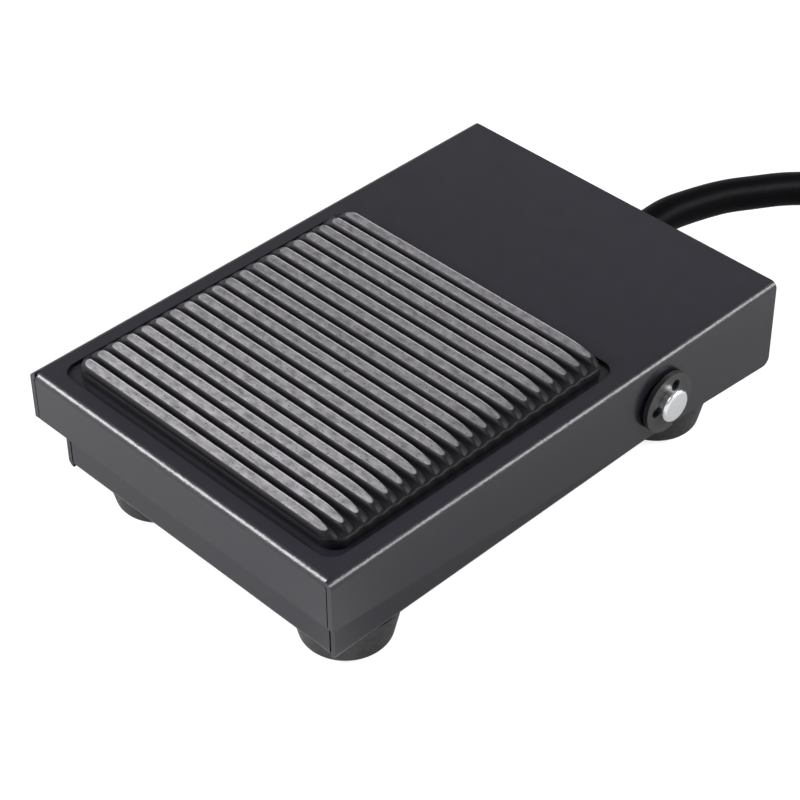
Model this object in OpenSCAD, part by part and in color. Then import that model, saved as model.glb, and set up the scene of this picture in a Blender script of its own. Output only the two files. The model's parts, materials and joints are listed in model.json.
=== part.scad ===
// Foot switch: a sprung steel pedal on a steel tray, with a snap-in cord and a plunger switch inside.
// Millimetres. +X is the side with the hinge pin in view, -Y the toe end, +Y the cord end, +Z up.
// The origin lies on the floor under the middle of the pedal.

/* [Pedal cover] */
// Length of the pedal cover, toe end to cord end
cover_l = 105; // [98:1:116]
// Width of the pedal cover over its side flanges
cover_w = 72.1; // [68:0.1:80]
// Height of the pedal's deck over the case of the switch
deck_over_switch = 3.9; // [3.7:0.1:6]
// Thickness of the pedal's sheet steel
cover_t = 1; // [0.8:0.1:1.2]
// Outside radius of the pedal's folds
cover_fold_r = 1.3; // [1.3:0.1:2.4]
// Depth of the front flange from the deck
front_flange = 9.7; // [8:0.1:12]
// Depth of the side flanges at the cord end
rear_flange_depth = 17.7; // [15:0.1:18.5]
// Slit between the front flange and the side flanges
cover_slit = 0.2; // [0.1:0.1:0.8]
// Radius of the side flange's free lower corner
flange_corner_r = 1.5; // [0.5:0.1:3]
// Margin of the pressed recess at the toe end
recess_front = 3.4; // [3:0.1:6]
// Margin of the pressed recess at the sides
recess_side = 3.65; // [3.2:0.05:6]
// Depth of the pressed recess
recess_depth = 0.6; // [0.3:0.1:0.8]
// Corner radius of the recess
recess_r = 3; // [1:0.1:5]

/* [Tread pad] */
// Number of ribs across the pad
rib_count = 20; // [12:1:20]
// Pitch of the ribs
rib_pitch = 3.11; // [2.7:0.01:3.15]
// Height of the rib tops over the deck
pad_rise = 2.5; // [1.8:0.1:3.5]
// Width of a rib
rib_w = 2.3; // [1.8:0.1:2.5]
// Height of a rib over the slab between the ribs
rib_h = 1.3; // [0.8:0.1:1.6]
// Radius of a rib's gently rounded crown
rib_crown_r = 2.8; // [1.4:0.1:6]
// Radius that rounds the ribs down at their ends
rib_end_r = 2.9; // [2:0.1:5]
// How far the rib ends fall to the pad's side wall
rib_end_fall = 0.9; // [0.6:0.1:1.2]
// Corner radius of the pad
pad_r = 2.6; // [1:0.1:4]
// Gap between the pad and the wall of the recess, at the sides
pad_gap_side = 1.3; // [0.3:0.1:1.5]
// The same at the toe end
pad_gap_front = 1.6; // [0.3:0.1:2]
// The same towards the cord end
pad_gap_rear = 0.8; // [0.3:0.1:2]

/* [Tray] */
// Gap from the cover's outside to the tray's outside, each side
tray_side_inset = 3.2; // [2.6:0.1:4.5]
// The same at the toe end and the cord end
tray_end_inset = 3.3; // [2.6:0.1:4.5]
// Thickness of the tray's sheet steel
tray_t = 1; // [0.8:0.1:1.2]
// Outside radius of the tray's folds
tray_fold_r = 1.2; // [1.2:0.1:2.4]
// Slit between the tray's end flanges and its side flanges
tray_slit = 0.3; // [0.1:0.1:1]

/* [Feet] */
// Height of a rubber foot
foot_h = 8; // [7:0.1:10]
// Diameter of a foot where it meets the tray
foot_top_d = 19; // [15:0.5:21]
// Diameter of a foot at the floor, before its rounded edge
foot_floor_d = 15.4; // [12:0.2:18]
// Radius of the foot's lower edge
foot_edge_r = 1.2; // [0.4:0.1:2]
// Distance of a foot's middle from the tray's side
foot_side_inset = 9.85; // [9.7:0.05:13]
// Distance of a foot's middle from the tray's end
foot_end_inset = 11.4; // [10.6:0.2:14]
// Shank diameter of a foot screw
foot_screw_d = 4; // [3:0.5:5]

/* [Hinge] */
// Diameter of the hinge pin
pin_d = 6; // [5:0.5:7]
// Distance of the pin from the cord end of the pedal
pin_end_inset = 29.1; // [27:0.1:32]
// Height of the pin over the underside of the tray
pin_h = 11.7; // [11:0.1:12]
// Running clearance of the pin in its holes, on the radius
pin_play = 0.05; // [0.02:0.01:0.08]
// How far the pin stands out from the pedal's side
pin_stand_out = 3; // [2.4:0.1:4]
// Outside diameter of a retaining clip
clip_d = 11.3; // [10:0.1:13]
// Thickness of a retaining clip
clip_t = 0.9; // [0.6:0.1:1.2]
// Angle that the pedal is pressed through, in degrees
pedal_travel = 5; // [3:0.5:5]

/* [Switch] */
// Length of the plunger switch
switch_l = 27.8; // [25:0.2:30]
// Height of the plunger switch
switch_h = 15.5; // [15:0.1:17]
// Thickness of the plunger switch
switch_w = 10.3; // [9:0.1:11]
// Distance of the plunger in front of the hinge pin
plunger_lead = 15.4; // [15:0.1:17]
// Diameter of the plunger
plunger_d = 3.5; // [3:0.1:4]
// Diameter of the switch screws
switch_screw_d = 3; // [2.5:0.1:3]

/* [Return spring] */
// Distance of the spring's middle from the toe end of the tray
spring_end_inset = 13.2; // [12:0.2:16]
// Diameter of the spring wire
spring_wire_d = 1.2; // [0.8:0.1:1.4]
// Outside diameter of the spring
spring_d = 12.4; // [11:0.2:14]
// Number of turns in the spring
spring_turns = 7; // [5:1:9]

/* [Cord] */
// Diameter of the cord's jacket
cord_d = 6.4; // [6:0.1:6.6]
// Height of the cord's exit over the underside of the tray
cord_h = 9.6; // [9:0.1:10.2]
// Diameter of an insulated core
core_d = 2.2; // [1.8:0.1:2.3]
// Turns in each full layer of the coil
layer_turns = 1.85; // [1.5:0.05:1.9]
// Turns in the coil's top layer
top_turns = 1.2; // [0.8:0.05:1.3]
// Radius of the coil's outermost turn, to the middle of the cord
coil_r = 38.4; // [37:0.1:40]
// Gap that is left between neighbouring turns
coil_gap = 0.5; // [0.45:0.05:0.8]

/* [Hidden] */
$fn = 96;

// One overrun serves every cut
over = 1;
// Clearance between pieces that move past each other
move_gap = 0.3;
// Clearance left under the pedal when it is pressed home
stop_gap = 0.4;
// Play of a still pin, screw or cord in its hole, on the radius
hole_play = 0.15;

// Levels, from the floor
tray_z = foot_h;
floor_z = tray_z + tray_t;
switch_z1 = floor_z + switch_h;
deck_z = switch_z1 + deck_over_switch;
under_z = deck_z - cover_t;
recess_under_z = under_z - recess_depth;
pin_z = tray_z + pin_h;

// Plan of the pedal and the tray
cover_x = cover_w / 2;
cover_y = cover_l / 2;
tray_x = cover_x - tray_side_inset;
tray_y = cover_y - tray_end_inset;
foot_x = tray_x - foot_side_inset;
foot_y = tray_y - foot_end_inset;
pin_y = cover_y - pin_end_inset;
spring_y = spring_end_inset - tray_y;

// Plan of the recess, from the pad that sits in it
pad_l = rib_count * rib_pitch;
recess_w = cover_w - 2 * recess_side;
pad_w = recess_w - 2 * pad_gap_side;
recess_l = pad_l + pad_gap_front + pad_gap_rear;
recess_y0 = recess_front - cover_y;
recess_y1 = recess_y0 + recess_l;
pad_y0 = recess_y0 + pad_gap_front;
// How far the pressed recess spreads on the underside
recess_spread = 0.4;

// Height under the pedal at a place along it, with the pedal pressed home
function pressed_z(y, under) =
    pin_z + (y - pin_y) * tan(pedal_travel) + (under - pin_z) / cos(pedal_travel);

// Tray flanges: low at the toe end so that the pressed pedal clears them
tray_side_y = recess_y1 + recess_spread;
tray_front_z = pressed_z(-tray_y, recess_under_z) - stop_gap;
tray_side_z = pressed_z(tray_side_y, recess_under_z) - stop_gap;
tray_rear_z = under_z - move_gap;

// Foot screw, nut and the recess for the screw's head
foot_screw_head_d = 2 * foot_screw_d;
foot_screw_head_h = 2.4;
foot_counterbore_play = 0.5;
foot_counterbore_d = foot_screw_head_d + 2 * foot_counterbore_play;
foot_counterbore_h = 4;
foot_nut_d = 8.1;
foot_nut_h = 3.2;
foot_screw_past = 0.8;

// Hinge pin details
pin_reach = cover_x + pin_stand_out;
pin_round = 0.6;
groove_depth = 0.5;
groove_d = pin_d - 2 * groove_depth;
clip_off = 0.5;
groove_side = 0.05;
clip_mouth = 4.3;
clip_lobe_r = 1;
clip_lobe_at = 3.35;
clip_lobe_turn = 58;
clip_turn = 126;
spacer_d = 10;
spacer_t = tray_side_inset - cover_t - move_gap;

// Switch body: x along its length, y through its thickness
plunger_y = pin_y - plunger_lead;
switch_y0 = plunger_y - switch_w / 2;
switch_y1 = plunger_y + switch_w / 2;
plunger_share = 0.54;
switch_x0 = -plunger_share * switch_l;
switch_x1 = switch_x0 + switch_l;
switch_wall = 1.2;
lid_t = 1.3;
pocket_z1 = switch_z1 - switch_wall;
pocket_y0 = switch_y0 + lid_t;
pocket_y1 = switch_y1 - switch_wall;
screw_left_inset = 4;
screw_right_inset = 5.2;
screw_left_x = switch_x0 + screw_left_inset;
screw_right_x = switch_x1 - screw_right_inset;
plunger_top_z = recess_under_z - move_gap;
plunger_l = 5.5;
plunger_foot_z = plunger_top_z - plunger_l;
plunger_nib_d = 1.6;
plunger_play = 0.05;
plunger_collar_rim = 0.7;
plunger_collar_d = plunger_d + 2 * plunger_collar_rim;
plunger_collar_h = 0.9;
plunger_dome_r = 0.5;
collar_gap = 0.3;

// Contacts of the switch
blade_gap = 0.15;
blade_t = 0.3;
blade_w = 4.6;
blade_z = plunger_foot_z - blade_gap - blade_t;
blade_bead_r = 0.35;
blade_root_inset = 1.2;
blade_tip_inset = 6.8;
blade_root_x = switch_x1 - switch_wall - blade_root_inset;
blade_tip_x = switch_x0 + switch_wall + blade_tip_inset;
button_d = 2.8;
button_h = 0.45;
button_margin = 0.3;
button_x = blade_tip_x + button_d / 2 + button_margin;
strip_t = 0.6;
strip_w = 4.8;
strip_play = 0.1;
tab_l = 7.2;
plunger_drop = recess_under_z - pressed_z(plunger_y, recess_under_z);
blade_turn = atan(plunger_drop / blade_root_x);
button_drop = (blade_root_x - button_x + button_d / 2) * sin(blade_turn);
closed_z = blade_z + blade_t + button_h + blade_gap + button_h;
open_z = blade_z - button_h - button_drop - blade_gap - button_h - strip_t;
// The case below its pocket holds the screws and the common terminal
pocket_margin = 1.9;
pocket_z0 = open_z - pocket_margin;
screw_z = (floor_z + pocket_z0) / 2;
common_z = screw_z - strip_t / 2;

// Bracket that carries the switch, tapped for its screws
bracket_t = 1.5;
bracket_past_screw = 5.5;
bracket_h = screw_z - floor_z + bracket_past_screw;
bracket_foot = 5.5;
bracket_fold_r = 2.1;
bracket_inset = 1;
switch_head_d = 5.4;
switch_head_h = 1.9;
switch_screw_past = 0.7;

// Spring and what locates it
spring_disc_t = 0.8;
spring_disc_rim = 0.9;
spring_disc_d = spring_d + 2 * spring_disc_rim;
spring_post_play = 0.5;
spring_post_d = spring_d - 2 * (spring_wire_d + spring_post_play);
spring_post_h = 3.2;
spring_z0 = floor_z + spring_disc_t;
spring_z1 = recess_under_z - spring_disc_t - move_gap;
spring_mean_r = (spring_d - spring_wire_d) / 2;
spring_rings = 12;
spring_end_turns = 0.75;
spring_turn_gap = 0.1;

// Cord exit and the strain relief in the tray's rear flange
exit_z = tray_z + cord_h;
relief_out = 11;
relief_in = 8.2;
exit_y = tray_y + relief_out;
relief_flange_d = 14;
relief_flange_t = 1.6;
relief_neck_d = 10.8;
relief_lock_d = 13;
relief_lock_t = 2;
relief_boot_d = 10;
relief_tail_wall = 0.6;
relief_tail_d = cord_d + 2 * relief_tail_wall;
relief_ribs = 3;
relief_cut = 0.5;
relief_cut_w = 1;
cord_hole_d = relief_neck_d + 2 * hole_play;
cord_play = 0.05;
lead_past_tie = 3.7;
tie_w = 3;
tie_t = 1.1;
tie_head = 4.6;
tie_y = tray_y - tray_t - relief_in - move_gap - tie_w;
lead_y = tie_y - lead_past_tie;

// Free stretch of the cord, from the relief's tail towards the coil, chosen by hand
cord_route = [
    [0.8, 72.5, 17.1], [2.4, 80, 16.2], [4.6, 86.5, 15.1], [7.3, 94, 13.6],
    [10.8, 101, 11.6], [15.4, 106.2, 9], [20.2, 109, 6.5]];

// Coil: spirals in and out in four layers
coil_x = 28;
coil_y = 151;
coil_start = -75;
coil_tie_t = 0.9;
coil_tie_w = 5;
coil_tie_r = 3;
coil_tie_at = 0;
tie_gap = 0.2;
coil_pitch = cord_d + coil_gap;
coil_z = coil_tie_t + tie_gap + cord_d / 2;
coil_inner_r = coil_r - layer_turns * coil_pitch;
full_layers = 3;
loop_rings = 24;
coil_turns = full_layers * layer_turns + top_turns;
coil_top_z = coil_z + full_layers * coil_pitch + cord_d / 2;

// Bare far end: three cores that lie on the coil
tail_sweep = 50;
tail_points = 7;
tail_offset = 1.35;
tail_fan = 1.6;
tail_drift = 1.4;
tail_rest_z = coil_z + (full_layers - 1) * coil_pitch + cord_d / 2 + core_d / 2 + tie_gap;
tip_d = 1.3;
tip_l = 6;

// Sweep of a round tube along points. Each ring stands square to the path.
function unit(v) = v / norm(v);
function path_way(p, i) =
    unit(p[min(i + 1, len(p) - 1)] - p[max(i - 1, 0)]);
function ring_at(p, i, r, sides) =
    let (way = path_way(p, i), side = unit(cross(way, [0, 0, 1])), up = cross(side, way))
    [for (k = [0:sides - 1])
        p[i] + r * (cos(360 * k / sides) * side + sin(360 * k / sides) * up)];

module tube(path, d, sides) {
    rings = len(path);
    points = [for (i = [0:rings - 1]) each ring_at(path, i, d / 2, sides)];
    walls = [for (i = [0:rings - 2], k = [0:sides - 1])
        let (a = i * sides + k, b = i * sides + (k + 1) % sides)
        each [[a, a + sides, b + sides], [a, b + sides, b]]];
    first = [for (k = [1:sides - 2]) [0, k, k + 1]];
    last = [for (k = [1:sides - 2]) [0, k + 1, k] + (rings - 1) * sides * [1, 1, 1]];
    polyhedron(points = points, faces = concat(walls, first, last));
}

// A smooth curve through points, with steps between each pair
function curve_point(a, b, c, d, s) =
    0.5 * (2 * b + (c - a) * s + (2 * a - 5 * b + 4 * c - d) * s * s
        + (3 * b - a - 3 * c + d) * s * s * s);
function smooth(p, steps) =
    let (last = len(p) - 1)
    concat([for (i = [0:last - 1], k = [0:steps - 1])
        curve_point(i > 0 ? p[i - 1] : 2 * p[0] - p[1], p[i], p[i + 1],
            i < last - 1 ? p[i + 2] : 2 * p[last] - p[last - 1], k / steps)], [p[last]]);

// Flat outline with round corners, standing on the x axis
module round_rect(w, h, r) {
    union() {
        translate([-w / 2 + r, 0]) square([w - 2 * r, h]);
        translate([-w / 2, r]) square([w, h - 2 * r]);
        for (x = [r - w / 2, w / 2 - r], y = [r, h - r])
            translate([x, y]) circle(r);
    }
}

// Outline of a sheet folded up along both sides, open at the top
module folded_u(w, h, t, r) {
    difference() {
        union() {
            translate([-w / 2 + r, 0]) square([w - 2 * r, t]);
            for (side = [-1, 1])
                translate([side * (w / 2 - r), r]) circle(r);
            for (side = [-1, 1])
                translate([side * (w / 2 - t / 2) - t / 2, r]) square([t, h - r]);
        }
        translate([-w / 2 + t, r]) square([w - 2 * t, h]);
        translate([-w / 2 + r, t]) square([w - 2 * r, r]);
        for (side = [-1, 1])
            translate([side * (w / 2 - r), r]) circle(r - t);
    }
}

// Outline of a sheet folded up along one edge: the flat leg runs along -x, the flange stands at x = 0
module folded_l(leg, h, t, r) {
    difference() {
        union() {
            translate([-leg, 0]) square([leg - r, t]);
            translate([-r, r]) circle(r);
            translate([-t, r]) square([t, h - r]);
        }
        translate([-r - t - r, r]) square([r + r, h]);
        translate([-r - t - r, t]) square([t + r, r]);
        translate([-r, r]) circle(r - t);
    }
}

module along_y(y0, y1) {
    translate([0, y1, 0]) rotate([90, 0, 0]) linear_extrude(y1 - y0) children();
}

module along_x(x0, x1) {
    translate([x0, 0, 0]) rotate([90, 0, 90]) linear_extrude(x1 - x0) children();
}

module both_sides() {
    children();
    mirror([1, 0, 0]) children();
}

// The side flange's outline seen from the side: deep at the cord end, with a free round corner
module cover_side_outline() {
    rear_z = deck_z - rear_flange_depth;
    slope = atan((rear_flange_depth - front_flange) / cover_l);
    corner_z = rear_z + flange_corner_r * (1 / cos(slope) + tan(slope));
    difference() {
        polygon([[-cover_y, deck_z - front_flange], [cover_y, rear_z], [cover_y, deck_z], [-cover_y, deck_z]]);
        difference() {
            translate([cover_y - flange_corner_r, rear_z - over])
                square([flange_corner_r + over, corner_z - rear_z + over]);
            translate([cover_y - flange_corner_r, corner_z]) circle(flange_corner_r);
        }
    }
}

module pedal_cover() {
    front_in = cover_x - cover_fold_r - cover_slit / 2;
    color("#2b2b2e")
    difference() {
        union() {
            // Deck and side flanges, with the deck stopped short of the front fold
            difference() {
                intersection() {
                    along_y(-cover_y, cover_y)
                        translate([0, deck_z]) mirror([0, 1])
                            folded_u(cover_w, rear_flange_depth, cover_t, cover_fold_r);
                    along_x(-cover_w, cover_w) cover_side_outline();
                }
                translate([cover_fold_r - cover_x, -cover_y - over, deck_z - rear_flange_depth])
                    cube([cover_w - 2 * cover_fold_r, cover_fold_r + over, rear_flange_depth + over]);
            }
            // Front fold
            along_x(-front_in, front_in)
                translate([-cover_y, deck_z]) mirror([0, 1]) mirror([1, 0])
                    folded_l(2 * cover_fold_r, cover_fold_r + cover_t, cover_t, cover_fold_r);
            // Front flange, which fits between the side flanges
            translate([cover_t + cover_slit - cover_x, -cover_y, deck_z - front_flange])
                cube([cover_w - 2 * (cover_t + cover_slit), cover_t, front_flange - cover_fold_r]);
            // Sheet pressed down round the pad
            translate([0, recess_y0 - recess_spread, recess_under_z])
                linear_extrude(recess_depth)
                    round_rect(recess_w + 2 * recess_spread, recess_l + 2 * recess_spread,
                        recess_r + recess_spread);
        }
        translate([0, recess_y0, deck_z - recess_depth])
            linear_extrude(recess_depth + over) round_rect(recess_w, recess_l, recess_r);
        translate([-cover_x - over, pin_y, pin_z]) rotate([0, 90, 0])
            cylinder(r = pin_d / 2 + pin_play, h = cover_w + 2 * over);
    }
}

// The ribs seen from the side, on the slab that carries them
module rib_outline() {
    top_z = deck_z + pad_rise;
    base_z = deck_z - recess_depth;
    end_rib = (rib_pitch - rib_w) / 2;
    translate([pad_y0 + end_rib, base_z]) square([pad_l - 2 * end_rib, top_z - rib_h - base_z]);
    for (i = [0:rib_count - 1])
        intersection() {
            translate([pad_y0 + (i + 0.5) * rib_pitch - rib_w / 2, base_z])
                square([rib_w, top_z - base_z]);
            translate([pad_y0 + (i + 0.5) * rib_pitch, top_z - rib_crown_r]) circle(rib_crown_r);
        }
}

// The pad seen from the toe end: flat along the ribs, rounded down at both ends
module rib_length_outline() {
    top_z = deck_z + pad_rise;
    base_z = deck_z - recess_depth;
    run = sqrt(pow(rib_end_r, 2) - pow(rib_end_r - rib_end_fall, 2));
    difference() {
        translate([-pad_w / 2, base_z]) square([pad_w, top_z - base_z]);
        for (side = [-1, 1])
            difference() {
                translate([side * (pad_w / 2 - run / 2) - run / 2 - (side < 0 ? over : 0), top_z - rib_end_fall])
                    square([run + over, rib_end_fall + over]);
                translate([side * (pad_w / 2 - run), top_z - rib_end_r]) circle(rib_end_r);
            }
    }
}

module tread_pad() {
    color("#3c3c3e")
    intersection() {
        along_x(-pad_w / 2, pad_w / 2) rib_outline();
        along_y(pad_y0, pad_y0 + pad_l) rib_length_outline();
        translate([0, pad_y0, deck_z - recess_depth])
            linear_extrude(recess_depth + pad_rise) round_rect(pad_w, pad_l, pad_r);
    }
}

module spring_stud() {
    color("#b9bcc0")
    translate([0, spring_y, recess_under_z - spring_disc_t]) {
        cylinder(d = spring_disc_d, h = spring_disc_t);
        translate([0, 0, -spring_post_h]) cylinder(d = spring_post_d, h = spring_post_h);
    }
}

// The tray's side flange seen from the side: it slopes with the pressed pedal
module tray_side_outline() {
    polygon([[-tray_y, tray_z], [tray_y, tray_z], [tray_y, tray_side_z],
        [tray_side_y, tray_side_z], [-tray_y, tray_front_z]]);
}

// One end flange of the tray with its fold, at the toe end
module tray_end(top_z) {
    fold_in = tray_x - tray_fold_r - tray_slit / 2;
    along_x(-fold_in, fold_in)
        translate([-tray_y, tray_z]) mirror([1, 0])
            folded_l(2 * tray_fold_r, tray_fold_r + tray_t, tray_t, tray_fold_r);
    translate([tray_t + tray_slit - tray_x, -tray_y, tray_z + tray_fold_r])
        cube([2 * (tray_x - tray_t - tray_slit), tray_t, top_z - tray_z - tray_fold_r]);
}

module base_tray() {
    color("#29292c")
    difference() {
        union() {
            difference() {
                intersection() {
                    along_y(-tray_y, tray_y)
                        translate([0, tray_z])
                            folded_u(2 * tray_x, tray_side_z - tray_z, tray_t, tray_fold_r);
                    along_x(-cover_w, cover_w) tray_side_outline();
                }
                for (end = [-1, 1])
                    translate([tray_fold_r - tray_x, end * (tray_y - tray_fold_r / 2) - tray_fold_r / 2
                            - (end < 0 ? over : 0), tray_z - over])
                        cube([2 * (tray_x - tray_fold_r), tray_fold_r + over, deck_z]);
            }
            tray_end(tray_front_z);
            mirror([0, 1, 0]) tray_end(tray_rear_z);
        }
        translate([-tray_x - over, pin_y, pin_z]) rotate([0, 90, 0])
            cylinder(r = pin_d / 2 + pin_play, h = 2 * (tray_x + over));
        translate([0, tray_y + over, exit_z]) rotate([90, 0, 0])
            cylinder(d = cord_hole_d, h = tray_t + 2 * over);
        for (x = [-foot_x, foot_x], y = [-foot_y, foot_y])
            translate([x, y, tray_z - over]) cylinder(r = foot_screw_d / 2 + hole_play, h = tray_t + 2 * over);
    }
}

// A rubber foot: a cone with a rounded lower edge, bored for its screw
module foot(x, y) {
    lean = atan((foot_top_d - foot_floor_d) / 2 / foot_h);
    edge_x = foot_floor_d / 2 + foot_edge_r * (tan(lean) - 1 / cos(lean));
    color("#1c1c1d")
    translate([x, y, 0])
        difference() {
            rotate_extrude() {
                translate([edge_x, foot_edge_r])
                    intersection() {
                        circle(foot_edge_r);
                        translate([-foot_edge_r, -foot_edge_r])
                            square([2 * foot_edge_r, foot_edge_r * (1 + sin(lean))]);
                    }
                polygon([[0, 0], [edge_x, 0],
                    [edge_x + foot_edge_r * cos(lean), foot_edge_r * (1 - sin(lean))],
                    [foot_top_d / 2, foot_h], [0, foot_h]]);
            }
            translate([0, 0, -over]) cylinder(r = foot_screw_d / 2 + hole_play, h = foot_h + 2 * over);
            translate([0, 0, -over]) cylinder(d = foot_counterbore_d, h = foot_counterbore_h + over);
        }
}

module foot_screws() {
    color("#b9bcc0")
    for (x = [-foot_x, foot_x], y = [-foot_y, foot_y])
        translate([x, y, foot_counterbore_h]) {
            translate([0, 0, -foot_screw_head_h]) cylinder(d = foot_screw_head_d, h = foot_screw_head_h);
            cylinder(d = foot_screw_d, h = floor_z + foot_nut_h + foot_screw_past - foot_counterbore_h);
        }
}

module foot_nuts() {
    color("#b9bcc0")
    for (x = [-foot_x, foot_x], y = [-foot_y, foot_y])
        translate([x, y, floor_z])
            difference() {
                cylinder(d = foot_nut_d, h = foot_nut_h, $fn = 6);
                translate([0, 0, -over]) cylinder(r = foot_screw_d / 2 + hole_play, h = foot_nut_h + 2 * over);
            }
}

module hinge_pin() {
    groove_x = cover_x + clip_off - groove_side;
    groove_w = clip_t + 2 * groove_side;
    color("#d9dadd")
    translate([0, pin_y, pin_z]) rotate([0, 90, 0])
        difference() {
            translate([0, 0, -pin_reach])
                rotate_extrude()
                    intersection() {
                        union() {
                            translate([0, pin_round]) square([pin_d / 2, 2 * (pin_reach - pin_round)]);
                            square([pin_d / 2 - pin_round, 2 * pin_reach]);
                            for (y = [pin_round, 2 * pin_reach - pin_round])
                                translate([pin_d / 2 - pin_round, y]) circle(pin_round);
                        }
                        square([pin_d / 2, 2 * pin_reach]);
                    }
            for (end = [-1, 1])
                translate([0, 0, end * (groove_x + groove_w / 2) - groove_w / 2])
                    difference() {
                        cylinder(d = pin_d + over, h = groove_w);
                        cylinder(d = groove_d, h = groove_w);
                    }
        }
}

// An open retaining ring: mouth on one side, a lobe on each side of the middle prong
module clip_outline() {
    difference() {
        circle(d = clip_d);
        circle(r = groove_d / 2 + pin_play);
        translate([-clip_mouth / 2, -clip_d]) square([clip_mouth, clip_d]);
        for (side = [-1, 1])
            rotate(side * clip_lobe_turn) translate([0, clip_lobe_at]) circle(clip_lobe_r);
    }
}

module retaining_clips() {
    color("#26262a")
    both_sides()
        along_x(cover_x + clip_off, cover_x + clip_off + clip_t)
            translate([pin_y, pin_z]) rotate(clip_turn - 90) clip_outline();
}

module hinge_spacers() {
    color("#c9c9c4")
    both_sides()
        translate([tray_x, pin_y, pin_z]) rotate([0, 90, 0])
            difference() {
                cylinder(d = spacer_d, h = spacer_t);
                translate([0, 0, -over]) cylinder(r = pin_d / 2 + pin_play, h = spacer_t + 2 * over);
            }
}

module spring_seat() {
    color("#b9bcc0")
    translate([0, spring_y, floor_z]) {
        cylinder(d = spring_disc_d, h = spring_disc_t);
        cylinder(d = spring_post_d, h = spring_disc_t + spring_post_h);
    }
}

// Compression spring: its first and last turns lie flat, the rest climb evenly
function spring_rise(s) =
    let (open = spring_turns - 2 * spring_end_turns)
    min(max((s * spring_turns - spring_end_turns) / open, 0), 1);

module return_spring() {
    wire_z0 = spring_z0 + spring_wire_d / 2;
    closed = spring_wire_d + spring_turn_gap;
    climb = spring_z1 - spring_z0 - spring_wire_d - 2 * closed;
    steps = spring_turns * spring_rings;
    color("#c9ccd1")
    tube([for (i = [0:steps])
        let (s = i / steps, turn = 360 * spring_turns * s,
            close_low = min(s * spring_turns / spring_end_turns, 1),
            close_high = max(1 - (1 - s) * spring_turns / spring_end_turns, 0))
        [spring_mean_r * cos(turn), spring_y + spring_mean_r * sin(turn),
            wire_z0 + closed * (close_low + close_high) + climb * spring_rise(s)]],
        spring_wire_d, 6);
}

module switch_bracket() {
    color("#b9bcc0")
    difference() {
        translate([switch_x0 + bracket_inset, 0, 0])
            along_x(0, switch_l - 2 * bracket_inset)
                translate([switch_y1, floor_z]) mirror([1, 0])
                    folded_l(bracket_foot, bracket_h, bracket_t, bracket_fold_r);
        for (x = [screw_left_x, screw_right_x])
            translate([x, switch_y1 + bracket_t + over, screw_z]) rotate([90, 0, 0])
                cylinder(r = switch_screw_d / 2 + hole_play, h = bracket_t + 2 * over);
    }
}

module switch_screws() {
    shank = switch_w + bracket_t + switch_screw_past;
    color("#c9ccd1")
    for (x = [screw_left_x, screw_right_x])
        translate([x, switch_y0, screw_z]) rotate([-90, 0, 0]) {
            translate([0, 0, -switch_head_h]) cylinder(d = switch_head_d, h = switch_head_h);
            cylinder(d = switch_screw_d, h = shank);
        }
}

// Holes for the switch's screws, through its whole thickness
module switch_screw_holes() {
    for (x = [screw_left_x, screw_right_x])
        translate([x, switch_y0 - over, screw_z]) rotate([-90, 0, 0])
            cylinder(r = switch_screw_d / 2 + hole_play, h = switch_w + 2 * over);
}

// Slot that a terminal strip passes through, with play all round
module strip_slot(x0, x1, z) {
    translate([x0, plunger_y - strip_w / 2 - strip_play, z - strip_play])
        cube([x1 - x0, strip_w + 2 * strip_play, strip_t + 2 * strip_play]);
}

module switch_case() {
    slot_x = blade_root_x - strip_t;
    color("#1d1b1a")
    difference() {
        translate([switch_x0, pocket_y0, floor_z])
            cube([switch_l, switch_w - lid_t, switch_h]);
        translate([switch_x0 + switch_wall, pocket_y0 - over, pocket_z0])
            cube([switch_l - 2 * switch_wall, pocket_y1 - pocket_y0 + over, pocket_z1 - pocket_z0]);
        // Well for the upright of the common terminal
        translate([slot_x, plunger_y - strip_w / 2 - strip_play, common_z - strip_play])
            cube([switch_x1 - switch_wall - slot_x, strip_w + 2 * strip_play, pocket_z0 - common_z + over]);
        strip_slot(switch_x1 - switch_wall - over, switch_x1 + over, common_z);
        strip_slot(switch_x0 - over, switch_x0 + switch_wall + over, open_z);
        strip_slot(switch_x0 - over, switch_x0 + switch_wall + over, closed_z);
        translate([0, plunger_y, pocket_z1 - over])
            cylinder(r = plunger_d / 2 + plunger_play, h = switch_wall + 2 * over);
        switch_screw_holes();
    }
}

module switch_lid() {
    color("#2a2422")
    difference() {
        translate([switch_x0, switch_y0, floor_z]) cube([switch_l, lid_t, switch_h]);
        switch_screw_holes();
    }
}

module switch_plunger() {
    collar_z = pocket_z1 - collar_gap - plunger_collar_h;
    stem_l = plunger_top_z - collar_z;
    color("#a8321f")
    translate([0, plunger_y, 0]) {
        translate([0, 0, collar_z])
            rotate_extrude() {
                square([plunger_d / 2, stem_l - plunger_dome_r]);
                square([plunger_d / 2 - plunger_dome_r, stem_l]);
                intersection() {
                    translate([plunger_d / 2 - plunger_dome_r, stem_l - plunger_dome_r])
                        circle(plunger_dome_r);
                    square([plunger_d / 2, stem_l]);
                }
            }
        translate([0, 0, collar_z]) cylinder(d = plunger_collar_d, h = plunger_collar_h);
        translate([0, 0, plunger_foot_z]) cylinder(d = plunger_nib_d, h = collar_z - plunger_foot_z);
    }
}

module contact_blade() {
    color("#c98f4d") {
        // The bead that the blade turns on
        translate([blade_root_x, plunger_y - blade_w / 2, blade_z + blade_t / 2]) rotate([-90, 0, 0])
            cylinder(r = blade_bead_r, h = blade_w);
        translate([blade_tip_x, plunger_y - blade_w / 2, blade_z])
            cube([blade_root_x - blade_tip_x, blade_w, blade_t]);
        translate([button_x, plunger_y, blade_z - button_h])
            cylinder(d = button_d, h = blade_t + 2 * button_h);
    }
}

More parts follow.
